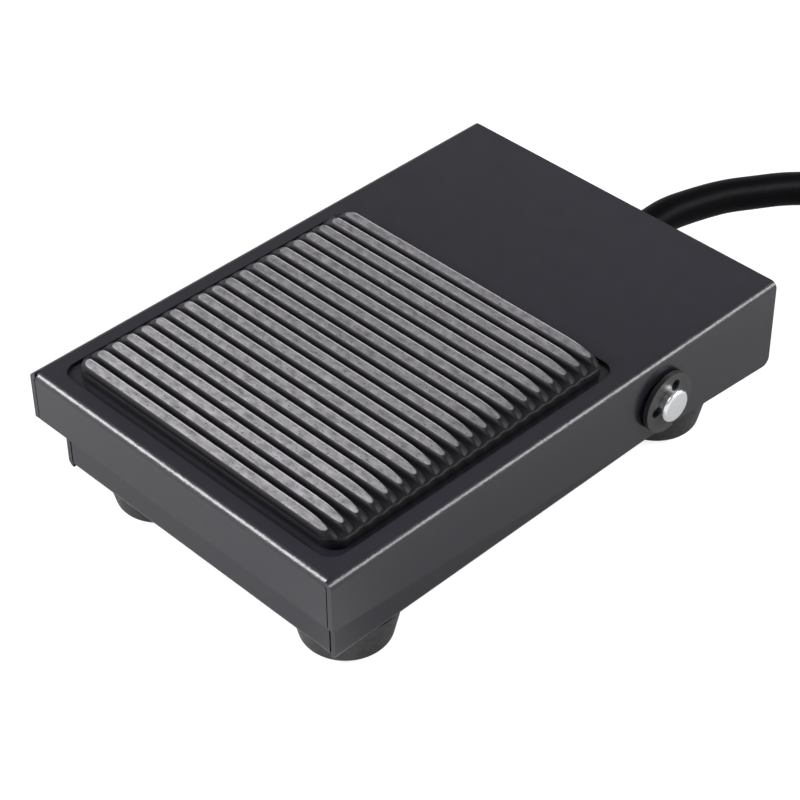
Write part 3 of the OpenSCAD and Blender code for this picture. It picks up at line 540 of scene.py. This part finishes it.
def climb(turns, k):
    """0 before the cord climbs onto layer k, 1 after it."""
    s = min(max((turns - k * layer_turns) * 2 + 0.5, 0), 1)
    return s * s * (3 - 2 * s)


def coil_point(turns):
    """Middle of the cord after a number of turns, in millimetres."""
    angle = math.radians(coil_start + 360 * turns)
    height = coil_z + coil_pitch * sum(climb(turns, k) for k in range(1, full_layers + 1))
    return Vector((coil_x + coil_radius(turns) * math.cos(angle),
                   coil_y + coil_radius(turns) * math.sin(angle), height))


def coil_way(turns):
    """Direction of the cord in the coil."""
    angle = math.radians(coil_start + 360 * turns)
    return Vector((-math.sin(angle), math.cos(angle), 0))


coil_first = coil_point(0) - cord_d * coil_way(0)
coil_last = coil_point(coil_turns) + cord_d * coil_way(coil_turns)
free_run = [Vector(p) for p in cord_route] + [coil_first - cord_d * coil_way(0), coil_first]
coil_steps = math.ceil(coil_turns * turn_steps)
coil_run = [coil_point(coil_turns * i / coil_steps) for i in range(coil_steps + 1)]
cord_points = metres(smooth_path(free_run, route_steps) + coil_run + [coil_last])
cord, cord_length = tube_mesh("cord_jacket", cord_points, cord_d / 2000, cord_sides)
print("cord length in metres:", round(cord_length, 4))

# %% [markdown]
# The jacket is soft black plastic. It is smooth, with a faint lengthwise mark from the die and dust in its
# gloss, so its colour is stretched along the UV map that counts metres along the cord.


# %% Cord jacket
def drawn_plastic(name, dark, light, gloss, depth, shine=0.5):
    """Extruded plastic: its marks run lengthwise, by the piece's own UV map."""
    material, tree, shader, place = new_material(name)
    skin = tree.nodes.new("ShaderNodeUVMap")
    skin.uv_map = "along"
    lines = noise(tree, skin.outputs["UV"], 0.02, 3.0, (1, 4, 1))
    dust = noise(tree, place, 0.0004, 3.0)
    tree.links.new(two_colours(tree, spread(tree, lines, 0, 1), dark, light), shader.inputs["Base Color"])
    tree.links.new(spread(tree, dust, *gloss), shader.inputs["Roughness"])
    relief(tree, dust, shader, depth)
    shader.inputs["Specular IOR Level"].default_value = shine
    return material


jacket = drawn_plastic("cord_jacket", (0.0014, 0.0014, 0.002), (0.0024, 0.0024, 0.0032), (0.38, 0.48),
                       0.000005, shine=0.03)
cord.data.materials.append(jacket)
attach(cord, "base")
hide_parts("cord", "cord_coil")
print("jacket faces:", len(cord.data.polygons))

# %% [markdown]
# ## The bare end
# At the far end the jacket is stripped, and three cores lie down onto the layer below with tinned tips. They
# leave the jacket's face side by side and spread by a few millimetres.

# %% Cores of the bare end
core_d = 2.2
tail_points = 7
tail_steps = 6
tail_sides = 14
tail_sweep = 50
tail_offset = 1.35
tail_fan = 1.6
tail_drift = 1.4
tail_gap = 0.2
tail_angle = coil_start + 360 * coil_turns
tail_radius = coil_radius(coil_turns)
tail_rest_z = coil_z + (full_layers - 1) * coil_pitch + cord_d / 2 + core_d / 2 + tail_gap


def tail_start(side):
    """Where a core leaves the jacket's face."""
    angle = math.radians(tail_angle)
    out = side * tail_offset
    lift = tail_offset if side == 0 else -tail_offset / 2
    return coil_last + Vector((out * math.cos(angle), out * math.sin(angle), lift))


def tail_point(side, s):
    """A point on a core, from 0 at the jacket to 1 at its tip."""
    angle = math.radians(tail_angle + math.degrees(math.atan(cord_d / tail_radius)) + tail_sweep * s)
    r = math.hypot(tail_radius, cord_d) + side * (tail_offset + tail_fan * s) + tail_drift * s * s
    high = tail_start(side).z
    return Vector((coil_x + r * math.cos(angle), coil_y + r * math.sin(angle),
                   high + (tail_rest_z - high) * s * s * (3 - 2 * s)))


core_colours = {"brown": ((0.13, 0.045, 0.018), (0.19, 0.075, 0.032)),
                "black": ((0.012, 0.012, 0.013), (0.022, 0.022, 0.023)),
                "blue": ((0.02, 0.075, 0.27), (0.03, 0.11, 0.38))}
core_skin = {colour: drawn_plastic(colour + "_insulation", *pair, (0.28, 0.4), 0.000005)
             for colour, pair in core_colours.items()}
for side, colour in zip((-1, 0, 1), core_colours):
    places = [tail_start(side), tail_start(side) + core_d * coil_way(coil_turns)]
    places += [tail_point(side, i / (tail_points - 1)) for i in range(2, tail_points)]
    way = metres(smooth_path(places, tail_steps))
    tail, tail_length = tube_mesh("tail_core_" + colour, way, core_d / 2000, tail_sides)
    tail.data.materials.append(core_skin[colour])
    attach(tail, "base")
    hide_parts("tail_cores")
    print(colour, "core:", round(tail_length * 1000, 1), "mm")

# %% [markdown]
# ## The cores inside
# Inside the tray the three cores run from the end of the jacket to the push-on sleeves of the switch. They
# dive under the hinge pin and swing out halfway to the tray's side. Their places are shares of the way, the
# same as in the solid model: of the way out, of the way back to the jacket, of the height at the jacket and
# of the height at the sleeve.

# %% Inner cores
inner_steps = 10
inner_sides = 16
jacket_end_y = 33.0
exit_z = 17.6
plunger_y = 8.0
core_ring_r = 1.55
core_low_z = 11.6
tray_inner_x = 31.85
inner_cores = {
    "core_common": ("brown", 30, (21.188, plunger_y, 11.922),
                    [(0.17, 0.78, 0.33, 0), (0.41, 0.62, 0.08, 0), (0.71, 0.46, 0, 0),
                     (0.93, 0.32, 0, 0), (1, 0.14, 0, 0.5)]),
    "core_open": ("blue", 150, (-23.412, plunger_y, 17.044),
                  [(0.13, 0.78, 0.36, 0), (0.34, 0.64, 0.05, 0), (0.65, 0.48, 0, 0.08),
                   (0.91, 0.34, 0, 0.3), (1, 0.16, 0, 0.65)]),
    "core_closed": ("black", -90, (-23.412, plunger_y, 22.2),
                    [(0.07, 0.84, 0.02, 0), (0.31, 0.8, 0, 0), (0.61, 0.62, 0, 0.12),
                     (0.9, 0.48, 0, 0.38), (1, 0.26, 0, 0.72)])}


def core_route(start_angle, end, shares):
    """The way of one core from the jacket's end face to its sleeve, in millimetres."""
    side = math.copysign(1, end[0])
    out_x = (end[0] + side * tray_inner_x) / 2
    angle = math.radians(start_angle)
    first = Vector((core_ring_r * math.cos(angle), jacket_end_y, exit_z + core_ring_r * math.sin(angle)))
    last = Vector(end)
    between = [Vector((out * out_x, plunger_y + back * (jacket_end_y - plunger_y),
                       core_low_z + high * (first.z - core_low_z) + low * (last.z - core_low_z)))
               for out, back, high, low in shares]
    bends = [first - Vector((0, core_d, 0))] + between + [last + Vector((side * core_d, 0, 0))]
    return [first] + smooth_path(bends, inner_steps) + [last]


for node, (colour, start_angle, end, shares) in inner_cores.items():
    way = metres(core_route(start_angle, end, shares))
    core, core_length = tube_mesh(node + "_skin", way, core_d / 2000, inner_sides)
    core.data.materials.append(core_skin[colour])
    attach(core, "base")
    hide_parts(node)
    print(node, round(core_length * 1000, 1), "mm")

# %% [markdown]
# ## The return spring
# A compression spring is one round wire on a helix whose first and last turns lie flat. The solid model has
# few facets, so it is drawn again here with a rounder wire.

# %% Return spring
wire_d = 1.2
spring_mean_r = 5.6
spring_turns = 7
end_turns = 0.75
turn_gap = 0.1
spring_y = -36.0
spring_low, spring_high = 9.8, 25.7
wire_turn_steps = 40
wire_sides = 12
closed_turn = wire_d + turn_gap
spring_climb = spring_high - spring_low - wire_d - 2 * closed_turn


def spring_point(s):
    """Middle of the wire, from 0 at the seat to 1 at the stud, in millimetres."""
    turned = s * spring_turns
    rise = min(max((turned - end_turns) / (spring_turns - 2 * end_turns), 0), 1)
    flat = min(turned / end_turns, 1) + max(1 - (spring_turns - turned) / end_turns, 0)
    angle = 2 * math.pi * turned
    return Vector((spring_mean_r * math.cos(angle), spring_y + spring_mean_r * math.sin(angle),
                   spring_low + wire_d / 2 + closed_turn * flat + spring_climb * rise))


wire_steps = spring_turns * wire_turn_steps
wire_way = metres([spring_point(i / wire_steps) for i in range(wire_steps + 1)])
spring, wire_length = tube_mesh("spring_wire", wire_way, wire_d / 2000, wire_sides)
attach(spring, "base")
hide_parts("return_spring")
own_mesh(spring)
print("spring wire:", round(wire_length * 1000, 1), "mm, faces:", len(spring.data.polygons))

# %% [markdown]
# ## The tread
# The tread is moulded in one piece: a slab with twenty ribs, each with a gently rounded crown. At both ends a
# rib thins out in a shallow taper and then falls in an arc to the rim. Since the same rib stands twenty times
# in a row, Geometry Nodes sets out copies of one rib along a line and joins the slab to them. A few lines of
# code then follow the pad's rounded corners.

# %% Sizes of the tread
pad_low, pad_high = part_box("tread_pad")
pad_w = pad_high[0] - pad_low[0]
pad_l = pad_high[1] - pad_low[1]
rib_count = 20
rib_pitch = 0.00311
rib_w = 0.0023
rib_h = 0.0013
crown_r = 0.0028
shoulder_r = 0.00055
end_r = 0.0029
end_ledge = 0.00035
taper_l = 0.0075
taper_fall = 0.0005
taper_slant = 3.1
left_taper_l = 0.004
left_taper_fall = 0.0002
corner_r = 0.0026
rim_r = 0.0003
rim_wave = 0.00028
pad_top = pad_high[2]
pad_base = pad_low[2]
slab_top = pad_top - rib_h
pad_mid_y = (pad_low[1] + pad_high[1]) / 2
print("pad", round(pad_w * 1000, 2), "by", round(pad_l * 1000, 2), "mm, top at", round(pad_top * 1000, 2))

# %% [markdown]
# A rib is a grid of points over its plan. The height of a point is the top of the pad less the fall of the
# crown across and the fall of the end along. The grid is finer where the rib bends more: at the shoulders and
# at the ends.

# %% One rib
rib_sink = 0.0003
rib_least = 0.0001
middle_cuts = 18
taper_cuts = 10
arc_cuts = 9
crown_cuts = 4


def crown(y):
    """Fall of the rib's crown at y from its middle, with softened shoulders."""
    fall = crown_r - math.sqrt(crown_r ** 2 - y ** 2)
    edge = abs(y) - (rib_w / 2 - shoulder_r)
    if edge > 0:
        fall += shoulder_r - math.sqrt(max(shoulder_r ** 2 - edge ** 2, 0))
    return fall


def end_drop(x, y):
    """Fall of the rib's top at x and y from its middle: a shallow taper and then an arc down to the slab.
    The right ends have a long taper that starts sooner at the back, which slants the worn top's tip."""
    length, depth = (taper_l, taper_fall) if x > 0 else (left_taper_l, left_taper_fall)
    along = x + taper_slant * y if x > 0 else -x
    taper = max(along - (pad_w / 2 - length), 0) / length
    arc = max(abs(x) - arc_from, 0)
    return depth * taper ** 2 + end_r - math.sqrt(end_r ** 2 - arc ** 2)


run = math.sqrt(end_r ** 2 - (end_r - rib_h) ** 2)
arc_from = pad_w / 2 - end_ledge - run
taper_from = pad_w / 2 - taper_l - taper_slant * rib_w / 2
taper_steps = [taper_from + (arc_from - taper_from) * k / taper_cuts for k in range(taper_cuts + 1)]
arc_steps = [arc_from + run * k / arc_cuts for k in range(1, arc_cuts + 1)]
end_steps = taper_steps + arc_steps
middle_steps = [taper_from * k / middle_cuts for k in range(middle_cuts)]
x_places = sorted([-x for x in middle_steps[1:] + end_steps] + middle_steps + end_steps)
flat_w = rib_w / 2 - shoulder_r
flat_steps = [flat_w * k / crown_cuts for k in range(crown_cuts + 1)]
round_angles = [math.pi / 2 * k / crown_cuts for k in range(1, crown_cuts + 1)]
round_steps = [flat_w + shoulder_r * math.sin(a) for a in round_angles]
y_places = sorted([-y for y in flat_steps[1:] + round_steps] + flat_steps + round_steps)


def rib_object():
    """One rib as a closed bar that starts a little inside the slab."""
    mesh = bpy.data.meshes.new("one_rib")
    work = bmesh.new()
    foot = slab_top - rib_sink
    grid = []
    for x in x_places:
        heights = [max(pad_top - crown(y) - end_drop(x, y), foot + rib_least) for y in y_places]
        tops = [work.verts.new((x, y, z)) for y, z in zip(y_places, heights)]
        low = [work.verts.new((x, y_places[0], foot)), work.verts.new((x, y_places[-1], foot))]
        grid.append([low[0]] + tops + [low[1]])
    for a, b in zip(grid, grid[1:]):
        for k in range(len(a) - 1):
            work.faces.new((a[k], b[k], b[k + 1], a[k + 1])).smooth = True
        work.faces.new((a[0], a[-1], b[-1], b[0]))
    work.faces.new(grid[0])
    work.faces.new(list(reversed(grid[-1])))
    bmesh.ops.recalc_face_normals(work, faces=work.faces)
    work.to_mesh(mesh)
    work.free()
    return bpy.data.objects.new("one_rib", mesh)


rib = rib_object()
scene.collection.objects.link(rib)
print("rib faces:", len(rib.data.polygons))

# %% [markdown]
# The slab is a closed plate between four rings of points. Its upper edge is a little round, and on the right
# and left the edge swells at the end of each rib, as it does where a mould is cut groove by groove.

# %% The slab
corner_cuts = 8
rim_cuts = 128
rim_bend = 0.3


def rim_dip(y):
    """How far the rim lies back at y: not at the end of a rib, a little at a groove, less near a corner."""
    near_corner = min((pad_l / 2 - corner_r - abs(y)) / rib_pitch, 1)
    return rim_wave * near_corner * (1 + math.cos(2 * math.pi * y / rib_pitch)) / 2


def slab_ring(work, z, off, wave):
    """One closed row of points round the slab, set back by off, with its right and left sides waved."""
    ring = []
    straight = pad_l / 2 - corner_r
    side_steps = [straight * (2 * k / rim_cuts - 1) for k in range(1, rim_cuts)]
    for cx, cy, start in ((1, 1, 0), (-1, 1, 90), (-1, -1, 180), (1, -1, 270)):
        for k in range(corner_cuts + 1):
            a = math.radians(start + 90 * k / corner_cuts)
            x = cx * (pad_w / 2 - corner_r) + (corner_r - off) * math.cos(a)
            ring.append(work.verts.new((x, cy * straight + (corner_r - off) * math.sin(a), z)))
        if start in (90, 270):
            side = -1 if start == 90 else 1
            for y in side_steps:
                x = side * (pad_w / 2 - off - wave * rim_dip(y))
                ring.append(work.verts.new((x, side * y, z)))
    return ring


def slab_object():
    """The slab under the ribs: a closed plate with a softened, slightly wavy rim."""
    mesh = bpy.data.meshes.new("tread")
    work = bmesh.new()
    bend = rim_r * rim_bend
    rings = [slab_ring(work, pad_base, 0, 0), slab_ring(work, slab_top - rim_r, 0, 1),
             slab_ring(work, slab_top - bend, bend, 1), slab_ring(work, slab_top, rim_r, 1)]
    for a, b in zip(rings, rings[1:]):
        for k in range(len(a)):
            work.faces.new((a[k], a[(k + 1) % len(a)], b[(k + 1) % len(a)], b[k])).smooth = True
    work.faces.new(rings[-1])
    work.faces.new(list(reversed(rings[0])))
    bmesh.ops.recalc_face_normals(work, faces=work.faces)
    work.to_mesh(mesh)
    work.free()
    return bpy.data.objects.new("tread", mesh)


slab = slab_object()
scene.collection.objects.link(slab)
print("slab faces:", len(slab.data.polygons))

# %% [markdown]
# The node tree takes the slab, lays a line of points along Y, puts the rib on each point, makes the copies
# real and gives them all one material. Its sizes are named inputs, so another tread needs no other tree.

# %% Ribs along a line
rubber, rubber_tree, rubber_shader, rubber_place = new_material("tread_rubber")


def tree_input(group, name, kind, value):
    """A named input of a node tree. Returns the identifier that the modifier uses."""
    socket = group.interface.new_socket(name=name, in_out="INPUT", socket_type=kind)
    if value is not None:
        socket.default_value = value
    return socket.identifier


group = bpy.data.node_groups.new("ribs_in_a_row", "GeometryNodeTree")
group.interface.new_socket(name="Geometry", in_out="INPUT", socket_type="NodeSocketGeometry")
rib_id = tree_input(group, "Rib", "NodeSocketObject", None)
count_id = tree_input(group, "Count", "NodeSocketInt", 10)
pitch_id = tree_input(group, "Pitch", "NodeSocketFloat", 0.003)
group.interface.new_socket(name="Geometry", in_out="OUTPUT", socket_type="NodeSocketGeometry")
inputs = group.nodes.new("NodeGroupInput")
outputs = group.nodes.new("NodeGroupOutput")
line = group.nodes.new("GeometryNodeMeshLine")
line.mode = "OFFSET"
step = group.nodes.new("ShaderNodeCombineXYZ")
less = group.nodes.new("ShaderNodeMath")
less.operation = "SUBTRACT"
less.inputs[1].default_value = 1
half = group.nodes.new("ShaderNodeMath")
half.operation = "MULTIPLY"
half.inputs[1].default_value = -0.5
back_off = group.nodes.new("ShaderNodeMath")
back_off.operation = "MULTIPLY"
start = group.nodes.new("ShaderNodeCombineXYZ")
info = group.nodes.new("GeometryNodeObjectInfo")
copies = group.nodes.new("GeometryNodeInstanceOnPoints")
real = group.nodes.new("GeometryNodeRealizeInstances")
join = group.nodes.new("GeometryNodeJoinGeometry")
dress = group.nodes.new("GeometryNodeSetMaterial")
dress.inputs["Material"].default_value = rubber
link = group.links.new
link(inputs.outputs["Count"], line.inputs["Count"])
link(inputs.outputs["Pitch"], step.inputs["Y"])
link(step.outputs[0], line.inputs["Offset"])
link(inputs.outputs["Count"], less.inputs[0])
link(less.outputs[0], half.inputs[0])
link(half.outputs[0], back_off.inputs[0])
link(inputs.outputs["Pitch"], back_off.inputs[1])
link(back_off.outputs[0], start.inputs["Y"])
link(start.outputs[0], line.inputs["Start Location"])
link(inputs.outputs["Rib"], info.inputs["Object"])
link(line.outputs[0], copies.inputs["Points"])
link(info.outputs["Geometry"], copies.inputs["Instance"])
link(copies.outputs[0], join.inputs[0])
link(inputs.outputs["Geometry"], join.inputs[0])
link(join.outputs[0], real.inputs[0])
link(real.outputs[0], dress.inputs["Geometry"])
link(dress.outputs[0], outputs.inputs[0])

rows = slab.modifiers.new("ribs", "NODES")
rows.node_group = group
rows[rib_id] = rib
rows[count_id] = rib_count
rows[pitch_id] = rib_pitch
plain_mesh(slab)
bpy.data.objects.remove(rib)
print("tread faces:", len(slab.data.polygons))

# %% [markdown]
# The end ribs stand over the pad's rounded corners. Each point near a corner moves inwards by as much as the
# corner's arc has left the straight side there, and less the further in it lies. Then the tread is set in its
# place on the deck.

# %% Rounded corners
ease_in = 0.006
rim_reach = 0.00035
for vertex in slab.data.vertices:
    x, y, z = vertex.co
    into_corner = abs(y) - (pad_l / 2 - corner_r)
    if into_corner > 0 and z > slab_top - rim_reach:
        side = pad_w / 2 - corner_r + math.sqrt(max(corner_r ** 2 - into_corner ** 2, 0))
        share = min(max((abs(x) - (pad_w / 2 - ease_in)) / ease_in, 0), 1)
        x -= math.copysign((pad_w / 2 - side) * share, x) if abs(x) > side - ease_in else 0
    vertex.co = (x, y + pad_mid_y, z)
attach(slab, "pedal")
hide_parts("tread_pad")
print("tread in place, from", round(pad_low[1] * 1000, 2), "to", round(pad_high[1] * 1000, 2), "mm along Y")

# %% [markdown]
# ## Tread rubber
# Only the tops of the ribs have turned grey, and the grey stops where a rib falls away at its sides and ends.
# So the colour follows the height of a point over the deck, broken up by noise: dark specks and a mottle. The
# grey is paler at the toe end and darker towards the back. The shoulder of each rib that faces the cord end
# carries a thin pale line, a painted highlight, found from the place of a point within the pitch of the ribs.
# The low parts stay dull black.

# %% Tread material
worn_from = 0.00022
worn_to = 0.00027
worn_dark = (0.115, 0.11, 0.118)
worn_light = (0.255, 0.246, 0.262)
unworn = (0.008, 0.0077, 0.0092)
front_y = -0.042
back_y = -0.012
back_share = 0.64
# A painted highlight: a thin pale line along the shoulder of each rib that faces the cord end, placed and
# sized by these numbers.
highlight_line_at = 0.00066
highlight_line_w = 0.00022
highlight_line_core = 0.2
highlight_line_share = 0.85
painted_highlight_grey = (0.45, 0.438, 0.455)
mottle_grain = 0.00055
speck_grain = 0.00022
rubber_depth = 0.00003
rubber_roughness = (0.5, 0.62)
rubber_shine = 0.15

tree = rubber_tree
spot = tree.nodes.new("ShaderNodeSeparateXYZ")
tree.links.new(rubber_place, spot.inputs[0])
mottle = noise(tree, rubber_place, mottle_grain, 5.0, (0.6, 1, 1))
specks = noise(tree, rubber_place, speck_grain, 3.0)
on_top = spread(tree, spot.outputs["Z"], 0, 1, pad_top - worn_to, pad_top - worn_from)
worn = maths(tree, "MULTIPLY", on_top, spread(tree, specks, 0.3, 1.0, 0.3, 0.42))

grey = two_colours(tree, spread(tree, mottle, 0, 1), worn_dark, worn_light)
# The grey is scaled down from the toe end towards the back.
paler = tree.nodes.new("ShaderNodeVectorMath")
paler.operation = "SCALE"
tree.links.new(grey, paler.inputs[0])
tree.links.new(spread(tree, spot.outputs["Y"], 1, back_share, front_y, back_y), paler.inputs["Scale"])

# The painted highlight line sits at a fixed place within the pitch of the ribs and is laid over the grey of
# the tops.
across = maths(tree, "MULTIPLY_ADD", spot.outputs["Y"], 1 / rib_pitch, -pad_mid_y / rib_pitch)
from_highlight_line = maths(tree, "SUBTRACT", maths(tree, "FRACT", across), 0.5 + highlight_line_at / rib_pitch)
highlight_line_reach = highlight_line_w / rib_pitch
line = spread(tree, maths(tree, "ABSOLUTE", from_highlight_line), highlight_line_share, 0, highlight_line_core * highlight_line_reach, highlight_line_reach)
top_colour = two_colours(tree, line, paler.outputs[0], painted_highlight_grey)
tree.links.new(two_colours(tree, worn, unworn, top_colour), rubber_shader.inputs["Base Color"])
tree.links.new(spread(tree, worn, *rubber_roughness, 0, 1), rubber_shader.inputs["Roughness"])
rubber_shader.inputs["Specular IOR Level"].default_value = rubber_shine
relief(tree, maths(tree, "MULTIPLY_ADD", mottle, 0.5, specks), rubber_shader, rubber_depth)
print("tread rubber ready")

# %% [markdown]
# ## The other finishes
# The feet are matt moulded rubber. The pin is turned bright steel, the retaining rings are blackened, and the
# screws, nuts, seat, stud and bracket are zinc plated. The switch is moulded phenolic with brass terminals.
# Each row gives two colours, the range of the roughness, the size of the grain and the depth of the relief. A
# metal's row adds how much finer its grain is each way, since turning and rolling draw it out.

# %% Finishes of the small pieces
dull_rows = {
    "foot_rubber": ((0.006, 0.006, 0.007), (0.01, 0.01, 0.0115), (0.42, 0.6), 0.0005, 0.00002),
    "blackened_steel": ((0.012, 0.012, 0.013), (0.028, 0.027, 0.027), (0.3, 0.48), 0.0004, 0.00001),
    "white_nylon": ((0.66, 0.65, 0.6), (0.76, 0.75, 0.7), (0.4, 0.55), 0.0005, 0.00001),
    "black_phenolic": ((0.018, 0.016, 0.015), (0.03, 0.027, 0.025), (0.35, 0.5), 0.0003, 0.000008),
    "brown_phenolic": ((0.07, 0.04, 0.03), (0.11, 0.065, 0.048), (0.35, 0.5), 0.0003, 0.000008),
    "red_plastic": ((0.36, 0.035, 0.018), (0.44, 0.05, 0.025), (0.22, 0.34), 0.0003, 0.000004),
    "red_sleeve": ((0.3, 0.03, 0.028), (0.38, 0.045, 0.04), (0.4, 0.55), 0.0005, 0.00001),
    "relief_plastic": ((0.011, 0.011, 0.0115), (0.018, 0.018, 0.0185), (0.38, 0.54), 0.0004, 0.00001),
    "cord_jacket": ((0.009, 0.009, 0.0095), (0.016, 0.016, 0.017), (0.36, 0.5), 0.0004, 0.00001)}
for colour, pair in core_colours.items():
    dull_rows[colour + "_insulation"] = (*pair, (0.28, 0.4), 0.0004, 0.000005)
metal_rows = {
    "zinc_steel": ((0.5, 0.5, 0.49), (0.64, 0.64, 0.63), (0.22, 0.38), 0.0006, 0.000004, (1, 1, 1)),
    "bright_steel": ((0.84, 0.86, 0.88), (0.92, 0.93, 0.95), (0.16, 0.28), 0.0004, 0.000003, (6, 1, 1)),
    "spring_steel": ((0.4, 0.4, 0.41), (0.54, 0.54, 0.55), (0.25, 0.36), 0.0004, 0.000003, (1, 1, 1)),
    "spring_copper": ((0.62, 0.34, 0.16), (0.74, 0.44, 0.23), (0.2, 0.32), 0.0004, 0.000003, (1, 6, 1)),
    "brass": ((0.66, 0.5, 0.24), (0.78, 0.61, 0.32), (0.2, 0.34), 0.0004, 0.000003, (1, 6, 1)),
    "tinned_copper": ((0.52, 0.51, 0.48), (0.68, 0.67, 0.64), (0.3, 0.46), 0.0003, 0.00004, (1, 1, 0.4))}
finishes = {name: finish_of(name, *row) for name, row in dull_rows.items()}
for name, (*row, stretch) in metal_rows.items():
    finishes[name] = finish_of(name, *row, metal=1.0, stretch=stretch)
finishes["satin_black_paint"] = paint
finishes["tread_rubber"] = rubber
print("finishes:", len(finishes))

# %% [markdown]
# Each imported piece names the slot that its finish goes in, so one loop dresses them all.

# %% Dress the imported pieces
slot_of = {row["node"]: row["material_slot"] for row in frame["record"]["subparts"]}
spring.data.materials.append(finishes["spring_steel"])
for name, piece in nodes.items():
    piece.data.materials.clear()
    piece.data.materials.append(finishes[slot_of[name]])
print("nodes dressed:", len(nodes))
